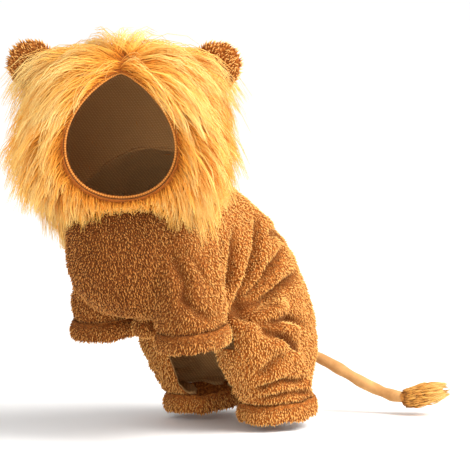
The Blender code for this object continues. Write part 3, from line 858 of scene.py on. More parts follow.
# %% Cutters
BELLY_WIDE, BELLY_LONG, BELLY_IN = 76.0, 176.0, 45.0
BELLY_TABLE = ((0.076, 0.380), (0.569, 0.050))   # (y, z) of its front and back ends
BELLY_AROUND = 56
CUFF_TALL, CUFF_THICK = 17.0, 7.0
END_WIDER, END_AROUND, END_SQUARE = 1.35, 32, 3.0   # the block that trims a limb
SEAM_HALF = 3.2        # half the width of the groove above a cuff
SEAM_REACH = 1.5       # how far from the limb's middle line it counts, in shares of the limb
LIMBS = {
    "sleeve_left": (SLEEVE_TABLE, SLEEVE_WIDE, 1),
    "sleeve_right": (SLEEVE_TABLE, SLEEVE_WIDE, -1),
    "leg_left": (LEG_TABLE, LEG_WIDE, 1),
    "leg_right": (LEG_TABLE, LEG_WIDE, -1),
}


def belly_cutter():
    """An oval column, square to the belly."""
    front, back = (body_point(y, z) for y, z in BELLY_TABLE)
    along = unit(back - front)
    inwards = np.array([0.0, -along[2], along[1]])
    rings = []
    for far in (BELLY_IN, BELLY_IN - BODY_LONG):
        ring = []
        for k in range(BELLY_AROUND):
            turn = 2 * math.pi * k / BELLY_AROUND
            across = np.array([math.cos(turn) * BELLY_WIDE / 2, 0.0, 0.0])
            spot = (front + back) / 2 + across + along * math.sin(turn) * BELLY_LONG / 2
            ring.append(spot + inwards * far)
        rings.append(ring)
    return linked("belly_cut", grid_mesh("belly_cut", rings))


def limb_end(table, wide, side):
    """The last section of a sleeve or leg, and the way down out of it."""
    centre, across, along = (rows[-1] for rows in limb_sections(table, wide, side, LIMB_STEPS))
    down = unit(np.cross(across, along) * side)
    return centre, across, along, down * (-1 if down[2] > 0 else 1)


def seam_at(spots):
    """How near points lie to a groove sewn above a cuff: 1 on it, 0 away from it. The groove is drawn
    only by shorter pile and painted shade.
    """
    near = np.zeros(len(spots))
    for table, wide, side in LIMBS.values():
        centre, across, along, down = limb_end(table, wide, side)
        away = spots - centre
        flat = np.hypot(away @ across / (across @ across), away @ along / (along @ along))
        groove = np.exp(-((away @ down / SEAM_HALF) ** 2))
        near = np.maximum(near, groove * (flat < SEAM_REACH))
    return near


def hollow_at(mesh):
    """How far each point of a skin lies down in a fold or a seam, from 0 to 1."""
    folds = np.clip(folds_at(mesh) / FOLD_DARK, 0, 1)
    return np.maximum(folds, seam_at(to_floor(points_of(mesh))))


def end_cutter(name, table, wide, side):
    """A block that trims a sleeve or leg flat where its cuff is sewn on."""
    centre, across, along, down = limb_end(table, wide, side)
    across, along = across * END_WIDER, along * END_WIDER
    rows = [(centre + down * far, across, along) for far in (-SEAM, 2 * CUFF_TALL)]
    return linked(name, grid_mesh(name, section_grid(zip(*rows), END_AROUND, END_SQUARE)))


# %% The hood's ball
HOOD_WIDE, HOOD_DEEP, HOOD_TALL = 160.0, 160.0, 148.0
HOOD_SQUARE = 2.5
HOOD_PLACE = (0.090, -0.145, 1.047)
HEAD_TURN = 42.0
HOOD_AROUND, HOOD_RINGS = 80, 56
HOOD_HALF = np.array([HOOD_WIDE, HOOD_DEEP, HOOD_TALL]) / 2
HOOD_MIDDLE = body_point(HOOD_PLACE[1], HOOD_PLACE[2], HOOD_PLACE[0])
HOOD_TURN = np.array(Matrix.Rotation(math.radians(HEAD_TURN), 3, "Z"))


def from_hood(points):
    """Points in the hood's own frame, facing -Y round its middle, to millimetres from the floor."""
    return np.asarray(points, float) @ HOOD_TURN.T + HOOD_MIDDLE


def to_hood(points):
    return (np.asarray(points, float) - HOOD_MIDDLE) @ HOOD_TURN


def hood_surface(ways, offset=0.0):
    """Where directions from the hood's middle meet its surface, moved out by offset."""
    ways = np.asarray(ways, float)
    share = (np.abs(ways / (HOOD_HALF + offset)) ** HOOD_SQUARE).sum(axis=-1, keepdims=True)
    return ways / share ** (1 / HOOD_SQUARE)


def hood_ball(name, offset):
    mesh = ball(name, HOOD_AROUND, HOOD_RINGS)
    move_to(mesh, to_frame(from_hood(hood_surface(points_of(mesh), offset))))
    return linked(name, turn_out(mesh))


print("hood, mm:", HOOD_WIDE, "x", HOOD_DEEP, "x", HOOD_TALL)


# %% Cut the suit open
suit_solid = linked("suit_solid", suit.data.copy())
suit_tree = surface_tree(suit_solid.data)
dress(suit.data, plush_knit, knit_backing)
hood_inner = as_cutter(hood_ball("hood_inner", -CLOTH))
suit_cutters = [hood_inner, as_cutter(belly_cutter())]
for name, limb in LIMBS.items():
    suit_cutters.append(as_cutter(end_cutter(name + "_end", *limb)))
cut(suit, *suit_cutters)


def without_cut_faces(mesh):
    """Deletes the faces that a cutter left."""
    with edited(mesh, mesh) as made:
        left = [face for face in made.faces if face.material_index == 1]
        bmesh.ops.delete(made, geom=left, context="FACES")
    return mesh


without_cut_faces(suit.data)
print("open skin:", len(suit.data.polygons), "faces")

# %% [markdown]
# ## Panels
#
# A costume maker cuts the suit as a body panel, two sleeves and two legs. Each face of the skin
# goes to the panel whose solid lies nearest, and each panel becomes a piece of its own with its
# own wall of cloth.

# %% Share the skin out among the panels
PANELS = ("body", "sleeve_left", "sleeve_right", "leg_left", "leg_right")


def node_tree(name):
    return surface_tree(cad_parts[name].data)


def nearest_panel(mesh):
    trees = [node_tree(name) for name in PANELS]
    found = []
    for face in mesh.polygons:
        middle = face.center
        found.append(min(range(len(trees)), key=lambda i: trees[i].find_nearest(middle)[3]))
    return found


def panel_mesh(source, name, keep):
    """A copy of some of a mesh's faces."""
    mesh = bpy.data.meshes.new(name)
    with edited(mesh, source) as made:
        rest = [face for face, kept in zip(made.faces, keep) if not kept]
        bmesh.ops.delete(made, geom=rest, context="FACES")
    return mesh


def area_of(mesh):
    return sum(face.area for face in mesh.polygons)


share = nearest_panel(suit.data)
skins = {}
panels = {}
for index, name in enumerate(PANELS):
    skins[name] = panel_mesh(suit.data, name + "_skin", [found == index for found in share])
    panel = linked(name + "_cloth", skins[name].copy())
    dress(panel.data, plush_knit, knit_backing)
    all_faces(panel.data, 0)
    # painted shade for the knit, down in folds and seams
    note(panel.data, "fold_shade", hollow_at(panel.data))
    wall = panel.modifiers.new("cloth", "SOLIDIFY")
    wall.thickness = CLOTH * MM
    wall.offset = -1
    wall.material_offset = 1
    wall.material_offset_rim = 1
    panels[name] = applied(panel)
    print(name, "flat cloth, cm2:", round(area_of(skins[name]) * 1e4))
drop(suit)

# %% [markdown]
# ## Pile
#
# The pile is what makes plush read as plush. A tuft is a bent cone of ten triangles. Geometry
# Nodes strew it over a panel at an even spacing, lean it the way the pile is brushed, turn it a
# little at random, and note how far along the tuft each point lies. The brushing is a vector on
# every point of the skin: down the sleeves and legs, and down and away from the spine on the
# back. A Noise texture swirls it, because plush is never brushed evenly.

# %% The pile's node tree
PILE_DENSEST = 400000.0     # tufts on a square metre, at most
PILE_STRAY = 0.45           # how far a tuft strays from the brushing
SWIRL_FINE = 280.0          # scale of the noise that swirls the brushing
TUFT_SIZES = (0.75, 1.25)
PILE_INPUTS = (
    ("Spacing", "NodeSocketFloat", 1.8 * MM),
    ("Length", "NodeSocketFloat", 2.9 * MM),
    ("Width", "NodeSocketFloat", 1.0 * MM),
    ("Bend", "NodeSocketFloat", 1.2 * MM),
    ("Lean", "NodeSocketFloat", 0.50),
    ("Swirl", "NodeSocketFloat", 2.4),
    ("Seed", "NodeSocketInt", 7),
    ("Material", "NodeSocketMaterial", None),
)


def new_tree(name, inputs):
    """An empty Geometry Nodes tree with named inputs, and its two end nodes."""
    tree = bpy.data.node_groups.new(name, "GeometryNodeTree")
    tree.interface.new_socket("Geometry", in_out="INPUT", socket_type="NodeSocketGeometry")
    for label, kind, value in inputs:
        made = tree.interface.new_socket(label, in_out="INPUT", socket_type=kind)
        if value is not None:
            made.default_value = value
    tree.interface.new_socket("Geometry", in_out="OUTPUT", socket_type="NodeSocketGeometry")
    return tree, tree.nodes.new("NodeGroupInput").outputs, tree.nodes.new("NodeGroupOutput")


def stored(tree, geometry, name, value, domain="POINT"):
    inputs = {"Geometry": geometry, "Name": name, "Value": value}
    return wire(tree, "GeometryNodeStoreNamedAttribute", inputs, domain=domain,
                data_type="FLOAT").outputs[0]


def noted(tree, name, kind="FLOAT"):
    """What a named attribute says."""
    return wire(tree, "GeometryNodeInputNamedAttribute", {"Name": name}, data_type=kind).outputs[0]


def scaled(tree, vector, share):
    inputs = {0: vector, "Scale": share}
    return wire(tree, "ShaderNodeVectorMath", inputs, operation="SCALE").outputs[0]


def facing(tree, inputs, **settings):
    """A rotation that turns one axis to a vector."""
    return wire(tree, "FunctionNodeAlignRotationToVector", inputs, **settings).outputs[0]


def ended(tree, geometry, given, out):
    """Every tree ends with real geometry, smooth shading and a material."""
    real = wire(tree, "GeometryNodeRealizeInstances", {0: geometry}).outputs[0]
    smooth = wire(tree, "GeometryNodeSetShadeSmooth", {"Geometry": real}).outputs[0]
    done = wire(tree, "GeometryNodeSetMaterial", {"Geometry": smooth, "Material": given["Material"]})
    tree.links.new(done.outputs[0], out.inputs[0])


def tuft_shape(tree, given):
    """A bent cone of three sides and two steps, with its length noted from 0 to 1."""
    cone = wire(tree, "GeometryNodeMeshCone", {
        "Vertices": 3, "Side Segments": 2, "Fill Segments": 1, "Radius Top": 0.0,
        "Radius Bottom": given["Width"], "Depth": given["Length"]}).outputs["Mesh"]
    place = wire(tree, "GeometryNodeInputPosition").outputs[0]
    split = wire(tree, "ShaderNodeSeparateXYZ", {0: place}).outputs
    along = maths(tree, "DIVIDE", split[2], given["Length"])
    cone = stored(tree, cone, "tuft_along", along)
    along = noted(tree, "tuft_along")
    full = maths(tree, "MULTIPLY", along, maths(tree, "SUBTRACT", 1.0, along))
    full = maths(tree, "ADD", 1.0, full)
    wide = wire(tree, "ShaderNodeCombineXYZ", {0: full, 1: full, 2: 1.0}).outputs[0]
    lean = maths(tree, "MULTIPLY", given["Bend"], maths(tree, "MULTIPLY", along, along))
    shift = wire(tree, "ShaderNodeCombineXYZ", {0: lean}).outputs[0]
    moved = vectors(tree, "ADD", vectors(tree, "MULTIPLY", place, wide), shift)
    return wire(tree, "GeometryNodeSetPosition", {"Geometry": cone, "Position": moved}).outputs[0]


def random_value(tree, low, high, seed, kind="FLOAT"):
    made = tree.nodes.new("FunctionNodeRandomValue")
    made.data_type = kind
    first = 0 if kind == "FLOAT_VECTOR" else 2
    made.inputs[first].default_value = low
    made.inputs[first + 1].default_value = high
    tree.links.new(seed, made.inputs["Seed"])
    return made.outputs[0 if kind == "FLOAT_VECTOR" else 1]


def make_pile_tree():
    tree, given, out = new_tree("pile", PILE_INPUTS)
    seed = given["Seed"]
    spread = wire(tree, "GeometryNodeDistributePointsOnFaces", {
        "Mesh": given["Geometry"], "Distance Min": given["Spacing"], "Density Max": PILE_DENSEST,
        "Seed": seed}, distribute_method="POISSON")
    nap = noted(tree, "nap", "FLOAT_VECTOR")
    full = noted(tree, "pile_full")
    place = wire(tree, "GeometryNodeInputPosition").outputs[0]
    clouds = wire(tree, "ShaderNodeTexNoise", {"Vector": place, "Scale": SWIRL_FINE, "Detail": 2.0})
    swirl = vectors(tree, "SUBTRACT", clouds.outputs["Color"], (0.5, 0.5, 0.5))
    swirl = scaled(tree, swirl, given["Swirl"])
    stray = random_value(tree, (-PILE_STRAY,) * 3, (PILE_STRAY,) * 3, seed, "FLOAT_VECTOR")
    lean = scaled(tree, nap, given["Lean"])
    way = vectors(tree, "ADD", spread.outputs["Normal"], lean)
    way = vectors(tree, "ADD", vectors(tree, "ADD", way, swirl), stray)
    turn = facing(tree, {"Vector": way}, axis="Z")
    turn = facing(tree, {"Rotation": turn, "Vector": nap}, axis="X", pivot_axis="Z")
    size = maths(tree, "MULTIPLY", full, random_value(tree, *TUFT_SIZES, seed))
    tufts = wire(tree, "GeometryNodeInstanceOnPoints", {
        "Points": spread.outputs["Points"], "Instance": tuft_shape(tree, given),
        "Rotation": turn, "Scale": size}).outputs[0]
    shade = random_value(tree, 0.0, 1.0, seed)
    tufts = stored(tree, tufts, "tuft_shade", shade, "INSTANCE")
    # painted shade for the tufts that stand down in folds and seams
    tufts = stored(tree, tufts, "tuft_fold_shade", maths(tree, "SUBTRACT", 1.0, full), "INSTANCE")
    ended(tree, tufts, given, out)
    return tree


def run_tree(obj, tree, **values):
    """Runs a node tree on an object and keeps its result as a plain mesh."""
    made = obj.modifiers.new("nodes", "NODES")
    made.node_group = tree
    for item in tree.interface.items_tree:
        if item.in_out == "INPUT" and item.name in values:
            made[item.identifier] = values[item.name]
    return applied(obj)


pile_tree = make_pile_tree()
print("pile tree nodes:", len(pile_tree.nodes))


# %% Brush the pile
FOLD_FLAT = 0.55       # how much shorter the pile stands down in a fold
SPINE_WIDE = 12.0      # how far from the spine the brushing turns away from it


def tangent(ways, normals):
    """Ways laid flat on a surface with those normals, with length one."""
    flat = ways - normals * (ways * normals).sum(axis=1)[:, None]
    return flat / np.maximum(np.linalg.norm(flat, axis=1), 1e-6)[:, None]


def one_way(way, count):
    return np.tile(way, (count, 1))


def brushed_down(mesh, ways):
    """Notes on a mesh's points the way the pile is brushed, and its length in folds and seams."""
    note(mesh, "nap", tangent(ways, normals_of(mesh)))
    note(mesh, "pile_full", 1 - FOLD_FLAT * hollow_at(mesh))
    return mesh


def body_brushing(mesh):
    """Down and back on the flanks, and away from the spine in a V on the back."""
    spots, normals = to_floor(points_of(mesh)), normals_of(mesh)
    ways = one_way((0.0, 0.25, -1.0), len(spots))
    upward = np.clip(normals[:, 1] + normals[:, 2], 0, 1)
    ways[:, 0] += 0.9 * np.tanh(spots[:, 0] / SPINE_WIDE) * upward
    return ways


def placed(obj, node):
    """Hides the solid that a piece takes the place of, and makes the piece ride on the body."""
    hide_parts(node)
    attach(obj, "root")


def pile_on(name, mesh, ways, node, **values):
    """Strews pile over a skin as a piece that goes with that node."""
    obj = linked(name, brushed_down(mesh, ways))
    dress(obj.data)
    run_tree(obj, pile_tree, Material=plush_pile, **values)
    placed(obj, node)
    print(name, "faces:", len(obj.data.polygons))
    return obj


for seed, name in enumerate(PANELS):
    mesh = skins[name]
    down = one_way((0.0, 0.1, -1.0), len(mesh.vertices))
    ways = body_brushing(mesh) if name == "body" else down
    pile_on(name + "_pile", mesh, ways, name, Seed=seed + 1)

# %% [markdown]
# ## Cuffs
#
# Each sleeve and leg ends in a hem: the plush is turned in and sewn round, so it makes a soft
# band with a stitched groove above it. Its section is drawn as a closed line, and swept round
# the end of the limb with an uneven fullness, more so at the hind legs, where the hem bunches.

# %% Bands round the limbs' ends
CUFF_AROUND, CUFF_STEPS = 84, 18
CUFF_PROFILE = (
    # out  down, in shares of the band's thickness and height
    (0.00, 0.00), (0.42, -0.02), (0.74, 0.10), (0.96, 0.30), (1.00, 0.52), (0.98, 0.72),
    (0.84, 0.92), (0.56, 1.03), (0.24, 1.02), (0.02, 0.90), (0.00, 0.62), (0.00, 0.30),
)


def cuff_mesh(name, table, wide, side, thick, bunch):
    centre, across, along, down = limb_end(table, wide, side)
    profile = smooth_rows((*CUFF_PROFILE, CUFF_PROFILE[0]), CUFF_STEPS + 1)[:-1]
    rings = []
    for k in range(CUFF_AROUND):
        turn = 2 * math.pi * k / CUFF_AROUND
        c, s = round_off(turn, LIMB_SQUARE)
        edge = centre + c * across + s * along
        out = c * across / np.linalg.norm(across) + s * along / np.linalg.norm(along)
        wave = math.sin(5 * turn + side) + 0.7 * math.sin(9 * turn + 2.0)
        wave = wave + 0.5 * math.sin(14 * turn)
        rings.append([edge + out * (-CLOTH + r * (thick + bunch * wave))
                      + down * (h * CUFF_TALL + 0.6 * bunch * wave) for r, h in profile])
    return grid_mesh(name, rings, "joined")


def outer_skin(mesh, centre, name):
    """The faces of a ring that look away from its middle, or down."""
    middle = Vector(to_frame(centre))
    keep = []
    for face in mesh.polygons:
        outwards = face.normal.dot(face.center - middle) > 0
        keep.append(outwards or face.normal.z < -0.3)
    return panel_mesh(mesh, name, keep)


CUFF_FORMS = {
    # kind: thickness and bunching, the pile's depth taken off
    "sleeve": (CUFF_THICK - PILE_DEEP, 0.5),
    "leg": (0.55 * CUFF_THICK, 0.9),
}
cuffs = {}
for name, limb in LIMBS.items():
    kind, hand = name.split("_")
    label = f"{kind}_cuff_{hand}"
    band = linked(label + "_cloth", cuff_mesh(label, *limb, *CUFF_FORMS[kind]))
    dress(band.data, plush_knit)
    cuffs[label] = band
    skin = outer_skin(band.data, limb_end(*limb)[0], label + "_skin")
    ways = one_way((0.0, 0.0, -1.0), len(skin.vertices))
    pile_on(label + "_pile", skin, ways, label, Seed=20 + len(cuffs), Lean=0.7)

# %% [markdown]
# ## Hood
#
# The hood is a cap of the same plush, with its inside showing through the face opening, because
# nothing is in it. The opening is a drop with its tip up. The ball is cut hollow, then the drop
# and the body are cut out of it.

# %% Face opening
FACE_WIDE, FACE_TALL = 113.0, 127.0
FACE_POINTS = 112
FACE_PEAK = 0.4        # power that draws the drop's tip up: 0 is an oval
FUR_BACK = 0.6         # how far the mane's backing keeps from the opening's edge
half_turn = np.linspace(0, math.pi, 181)
DROP_WIDEST = np.max(np.sin(half_turn) * np.sin(half_turn / 2) ** FACE_PEAK)


def drop_half(turns, wide):
    """The drop's half width at turns from its tip."""
    return wide / 2 * np.sin(turns) * np.abs(np.sin(turns / 2)) ** FACE_PEAK / DROP_WIDEST


def face_outline(grow=0.0, count=FACE_POINTS):
    """The drop in the hood's frame, as (x, z), moved out by grow."""
    turns = np.linspace(0, 2 * math.pi, count, endpoint=False)
    line = np.column_stack([drop_half(turns, FACE_WIDE), FACE_TALL / 2 * np.cos(turns)])
    along = np.roll(line, -1, axis=0) - np.roll(line, 1, axis=0)
    along[0] = (1.0, 0.0)
    return line + grow * unit(np.column_stack([-along[:, 1], along[:, 0]]))


def face_cutter(name, grow):
    rings = []
    for depth in (0.1, 1.0):
        rings.append(from_hood([(x, -HOOD_DEEP * depth, z) for x, z in face_outline(grow)]))
    return as_cutter(linked(name, grid_mesh(name, rings)))


as_cutter(suit_solid)
hood = hood_ball("hood_cloth", 0.0)
dress(hood.data, plush_knit, knit_backing)
face_cut = face_cutter("face_cut", 0.0)
fur_cut = face_cutter("fur_cut", FUR_BACK)
cut(hood, hood_inner, face_cut, suit_solid)


def line_inside(obj, middle):
    """Gives the faces that look to the middle the second material, and the others the first."""
    for face in obj.data.polygons:
        inner = face.normal.dot(face.center - middle) < 0
        face.material_index = 1 if inner else 0


line_inside(hood, Vector(to_frame(HOOD_MIDDLE)))
print("hood faces:", len(hood.data.polygons))

# %% [markdown]
# ## Face binding
#
# A strip of rib knit is folded over the raw edge and sewn down, which gives the opening its crisp
# line. It is a tube swept along the outline. The ribs are an attribute on its points, and the
# stitches beside it are one short thread that Geometry Nodes set along the outline.

# %% The strip
STRIP_THICK = 2.4      # the solid's is 4.4, which the hair's roots fill up here
BINDING_POINTS, BINDING_SIDES = 300, 10


def edge_line(offset, count, inset=CLOTH / 2):
    """The outline on the hood's wall, in the hood's frame."""
    line = []
    half = HOOD_HALF - inset
    for x, z in face_outline(offset, count):
        left = 1 - abs(x / half[0]) ** HOOD_SQUARE - abs(z / half[2]) ** HOOD_SQUARE
        line.append((x, -half[1] * left ** (1 / HOOD_SQUARE), z))
    return np.array(line)


def binding_mesh(name):
    radius = STRIP_THICK / 2
    line = edge_line(-radius - SEAM / 2, BINDING_POINTS)
    turns = np.linspace(0, 2 * math.pi, BINDING_SIDES, endpoint=False)
    rings, ribs = [], []
    for k, point in enumerate(line):
        along = unit(line[(k + 1) % len(line)] - line[k - 1])
        side = unit(np.cross(along, (0.0, 1.0, 0.0)))
        front = np.cross(side, along)
        rib = 0.5 + 0.5 * math.cos(math.pi * k)
        full = radius * (0.96 + 0.04 * rib)
        ring = [point + full * (math.cos(t) * side + math.sin(t) * front) for t in turns]
        rings.append(from_hood(ring))
        ribs += [rib] * BINDING_SIDES
    mesh = grid_mesh(name, rings, "joined")
    note(mesh, "rib", ribs)
    return mesh


binding = linked("face_binding_strip", binding_mesh("face_binding_strip"))
dress(binding.data, binding_rib)
print("strip faces:", len(binding.data.polygons))

# %% Stitches along the strip
STITCH_LINE_POINTS = 160
STITCH_CLEAR = 0.2
STITCH_INPUTS = (
    ("Pitch", "NodeSocketFloat", 4.0 * MM),
    ("Length", "NodeSocketFloat", 2.6 * MM),
    ("Thick", "NodeSocketFloat", 0.45 * MM),
    ("Material", "NodeSocketMaterial", None),
)


def make_stitch_tree():
    tree, given, out = new_tree("stitches", STITCH_INPUTS)
    line = wire(tree, "GeometryNodeMeshToCurve", {"Mesh": given["Geometry"]}).outputs[0]
    inputs = {"Curve": line, "Length": given["Pitch"]}
    marks = wire(tree, "GeometryNodeCurveToPoints", inputs, mode="LENGTH")
    thread = wire(tree, "GeometryNodeMeshCylinder", {
        "Vertices": 6, "Radius": given["Thick"], "Depth": given["Length"]}).outputs["Mesh"]
    turn = facing(tree, {"Vector": marks.outputs["Tangent"]}, axis="Z")
    rows = wire(tree, "GeometryNodeInstanceOnPoints", {
        "Points": marks.outputs["Points"], "Instance": thread, "Rotation": turn}).outputs[0]
    ended(tree, rows, given, out)
    return tree


def loop_object(name, points):
    """A closed chain of edges."""
    mesh = bpy.data.meshes.new(name)
    edges = [(k, (k + 1) % len(points)) for k in range(len(points))]
    mesh.from_pydata([tuple(p) for p in to_frame(points)], edges, [])
    return linked(name, mesh)


stitch_line = edge_line(-STRIP_THICK - STITCH_CLEAR, STITCH_LINE_POINTS, CLOTH + STITCH_CLEAR)
stitches = loop_object("face_stitches", from_hood(stitch_line))
run_tree(stitches, make_stitch_tree(), Material=stitch_thread)
print("stitch faces:", len(stitches.data.polygons))

# %% [markdown]
# ## Ears
#
# Each ear is two round cuts of plush sewn face to face, turned and lightly stuffed, with a cup in
# front. Stuffing is what a cloth simulation does well: the ear starts a little thin, and pressure
# from inside rounds it out, as filling would.

# %% Stuffing by pressure
PRESSURE, STUFF_FRAMES = 4.0, 20


def stuffed(obj, voxel, most):
    """Remeshes a soft form, blows it up from inside, and lets no point move further than most."""
    remesh(obj, voxel)
    before = points_of(obj.data)
    cloth = obj.modifiers.new("stuffing", "CLOTH")
    cloth.settings.use_pressure = True
    cloth.settings.uniform_pressure_force = PRESSURE
    cloth.settings.effector_weights.gravity = 0.0
    cloth.point_cache.frame_end = STUFF_FRAMES
    for step in range(1, STUFF_FRAMES + 1):
        scene.frame_set(step)
    applied(obj)
    scene.frame_set(1)
    move = points_of(obj.data) - before
    far = np.linalg.norm(move, axis=1)
    share = np.minimum(1, most * MM / np.maximum(far, 1e-9))
    move_to(obj.data, before + move * share[:, None])
    fine = obj.modifiers.new("fine", "SUBSURF")
    fine.levels = 1
    fine.render_levels = 1
    print(obj.name, "swelled, mm:", round(float(np.minimum(far / MM, most).mean()), 2))
    return applied(obj)


# %% Two ears
EAR_WIDE, EAR_TALL, EAR_THICK = 52.0, 58.0, 13.0
EAR_CUP = 5.0
EAR_SIDE, EAR_UP = 0.525, 0.375
EAR_LEAN = 46.0
EAR_SLACK = 1.2        # how much thinner the ear starts, before it is stuffed
EAR_AROUND, EAR_RINGS = 48, 32
EAR_VOXEL, EAR_SWELL = 3.0, 2.5   # size of its faces, and how far it may swell
EAR_PILE_LONG, EAR_PILE_LEAN = 4.6, 0.6


def ear_points(points, side, grow):
    """Turns a unit ball's points into an ear on the side +1 or -1."""
    lean = np.array(Matrix.Rotation(side * math.radians(EAR_LEAN), 3, "Y"))
    out = EAR_SIDE * HOOD_WIDE + 0.1 * EAR_TALL
    middle = np.array([side * out, 0.0, EAR_UP * HOOD_TALL + 0.1 * EAR_TALL])
    x, y, z = points.T
    off = np.hypot(x, z)
    rim = 1 + 0.25 * np.exp(-(((off - 0.8) / 0.16) ** 2))
    local = np.column_stack([
        x * (EAR_WIDE / 2 + grow),
        y * (EAR_THICK / 2 + grow) * rim + EAR_CUP * (1 - off**2),
        z * (EAR_TALL / 2 + grow),
    ])
    return from_hood(local @ lean.T + middle)


def make_ear(hand, side):
    name = f"ear_{hand}_cloth"
    mesh = ball(name, EAR_AROUND, EAR_RINGS)
    move_to(mesh, to_frame(ear_points(points_of(mesh), side, -EAR_SLACK)))
    ear = stuffed(linked(name, turn_out(mesh)), EAR_VOXEL, EAR_SWELL)
    dress(ear.data, plush_knit, plush_knit)
    return cut(ear, hood_room)


hood_room = as_cutter(hood_ball("hood_room", SEAM))
ears = {}
for hand, side in (("left", 1), ("right", -1)):
    ear = make_ear(hand, side)
    ears[hand] = ear
    skin = without_cut_faces(ear.data.copy())
    root = from_hood((side * EAR_SIDE * HOOD_WIDE * 0.8, 0.0, EAR_UP * HOOD_TALL * 0.8))
    ways = points_of(skin) - to_frame(root)
    label = f"ear_{hand}"
    pile_on(label + "_pile", skin, ways, label, Seed=40 + side,
                           Length=EAR_PILE_LONG * MM, Lean=EAR_PILE_LEAN)

# %% [markdown]
# ## Mane
#
# The mane is long fur sewn over the whole hood. It is parted above the opening: on top it lies
# out to both sides, beside the opening it sweeps outwards and down, under it the fur hangs over
# the chest, and behind it falls straight, like a cape.
#
# The hair grows in two steps, as hair tools do it. First come guides: each leaves the hood,
# follows the combing, bends with its weight, and is pushed out of whatever it meets. Then each
# guide gets a lock of hairs round it, which draw together towards the tip. At last Geometry Nodes
# turn all those lines into thin tubes.

# %% Ground under the hair
BACKING = 2.5
REACH = 0.06           # metres; nothing further off is tested
backing = hood_ball("mane_backing", SEAM + BACKING)
dress(backing.data, backing_fur, backing_fur)
cut(backing, hood_room, fur_cut, suit_solid)
all_faces(backing.data, 0)
print("backing faces:", len(backing.data.polygons))

ear_trees = [surface_tree(ear.data) for ear in ears.values()]


def pushed_out(points, rest, hood_rest):
    """Moves points out of the suit, the ears and the hood. rest is the room kept, in millimetres."""
    spots = to_frame(points)
    for tree in (suit_tree, *ear_trees):
        for i, spot in enumerate(spots):
            near, normal, _, far = tree.find_nearest(Vector(spot))
            if far < REACH and (Vector(spot) - near).dot(normal) < rest[i] * MM:
                spots[i] = near + normal * (rest[i] * MM)
    local = to_hood(to_floor(spots))
    skin = hood_surface(local, BACKING + hood_rest[:, None])
    inside = np.linalg.norm(local, axis=1) < np.linalg.norm(skin, axis=1)
    local[inside] = skin[inside]
    return from_hood(local)


# %% Comb the guides
GUIDES = 1900
EDGE_GUIDES = 190      # a row of shorter ones along the face opening, which hides its edge
GUIDE_STEPS = 9
HAIR_LONG = 84.0       # millimetres, for a guide of length 1
HAIR_FALL = 0.30       # how much its weight bends a guide down at each step


def ease(value, low, high):
    """0 below low, 1 above high, smooth between. low may be the greater."""
    t = np.clip((value - low) / (high - low), 0, 1)
    return t * t * (3 - 2 * t)


def even_ways(count):
    """Directions spread evenly over a ball, with a little disorder."""
    k = np.arange(count) + 0.5
    z = 1 - 2 * k / count
    turn = k * math.pi * (3 - math.sqrt(5))
    flat = np.sqrt(1 - z * z)
    ways = np.column_stack([flat * np.cos(turn), flat * np.sin(turn), z])
    return unit(ways + rng.normal(0, 0.022, ways.shape))


def in_drop(x, z, grow):
    """Whether points lie in the face opening's drop, moved out by grow."""
    high = FACE_TALL / 2 + grow
    turn = np.arccos(np.clip(z / high, -1, 1))
    return (np.abs(z) < high) & (np.abs(x) < drop_half(turn, FACE_WIDE + 2 * grow))


def combing(ways):
    """For each way from the hood's middle: combed way, lift, length, and a paleness that is partly
    painted light: paler on the crown and the top, darker on the cheeks and under the chin.
    """
    x, y, z = ways.T
    from_face = np.degrees(np.arccos(np.clip(-y, -1, 1)))
    roll = np.degrees(np.abs(np.arctan2(x, z)))
    front = ease(from_face, 112, 72)
    behind = 1 - front
    top = ease(roll, 80, 25) * front
    chin = ease(roll, 112, 156) * front
    cheek = front * (1 - top) * (1 - chin)
    curtain = ease(from_face, 74, 50) * ease(roll, 4, 25)
    crown = ease(from_face, 52, 72) * ease(np.abs(x), 0.46, 0.12) * ease(roll, 80, 40)
    by_ear = ease(roll, 34, 46) * ease(roll, 82, 70) * ease(from_face, 40, 60) * front
    low_cheek = ease(roll, 85, 135)
    side = np.where(x + 0.16 * crown * rng.normal(0, 1, len(x)) < 0, -1.0, 1.0)
    outward = np.column_stack([side, np.zeros_like(x), np.zeros_like(x)])
    away = tangent(one_way((0.0, 1.0, 0.0), len(x)), ways)
    down = tangent(one_way((0.0, 0.0, -1.0), len(x)), ways)
    upright = crown * ease(np.abs(x), 0.34, 0.04)
    to_side = 1.20 * top * (1 - 0.75 * upright) + 0.20 * behind
    to_back = 0.30 * top * (1 - curtain) * (1 - crown) + 1.1 * upright + 0.80 * cheek + 0.35 * chin
    to_ground = 0.55 * top * curtain + 0.50 * cheek + 0.9 * chin + 1.0 * behind * (1 - crown)
    comb = outward * to_side[:, None] + away * to_back[:, None] + down * to_ground[:, None]
    comb = tangent(comb, ways)
    shoulder = ease(roll, 14, 30) * ease(roll, 62, 46) * ease(from_face, 56, 76)
    lift = (0.32 - 0.08 * curtain + 0.16 * shoulder) * top
    lift = lift + 0.37 * cheek + 0.14 * chin + 0.14 * behind + 0.07 * crown
    chin_long = 0.12 + 0.40 * ease(np.abs(x - 0.10), 0.16, 0.60)
    long = 0.95 * top + 0.92 * cheek * (1 - 0.30 * low_cheek) + chin_long * chin + 1.12 * behind
    long *= (1 - 0.08 * (x > 0) * cheek) * (1 - 0.45 * by_ear) * (1 - 0.35 * crown)
    long *= 1 - 0.45 * chin * rng.random(len(x))
    # painted light and shade: paler on the crown and the top, darker on the cheeks and under the chin
    tone = 0.35 * crown + 0.12 * top - 0.12 * cheek - 0.30 * chin
    return comb, lift, long, tone


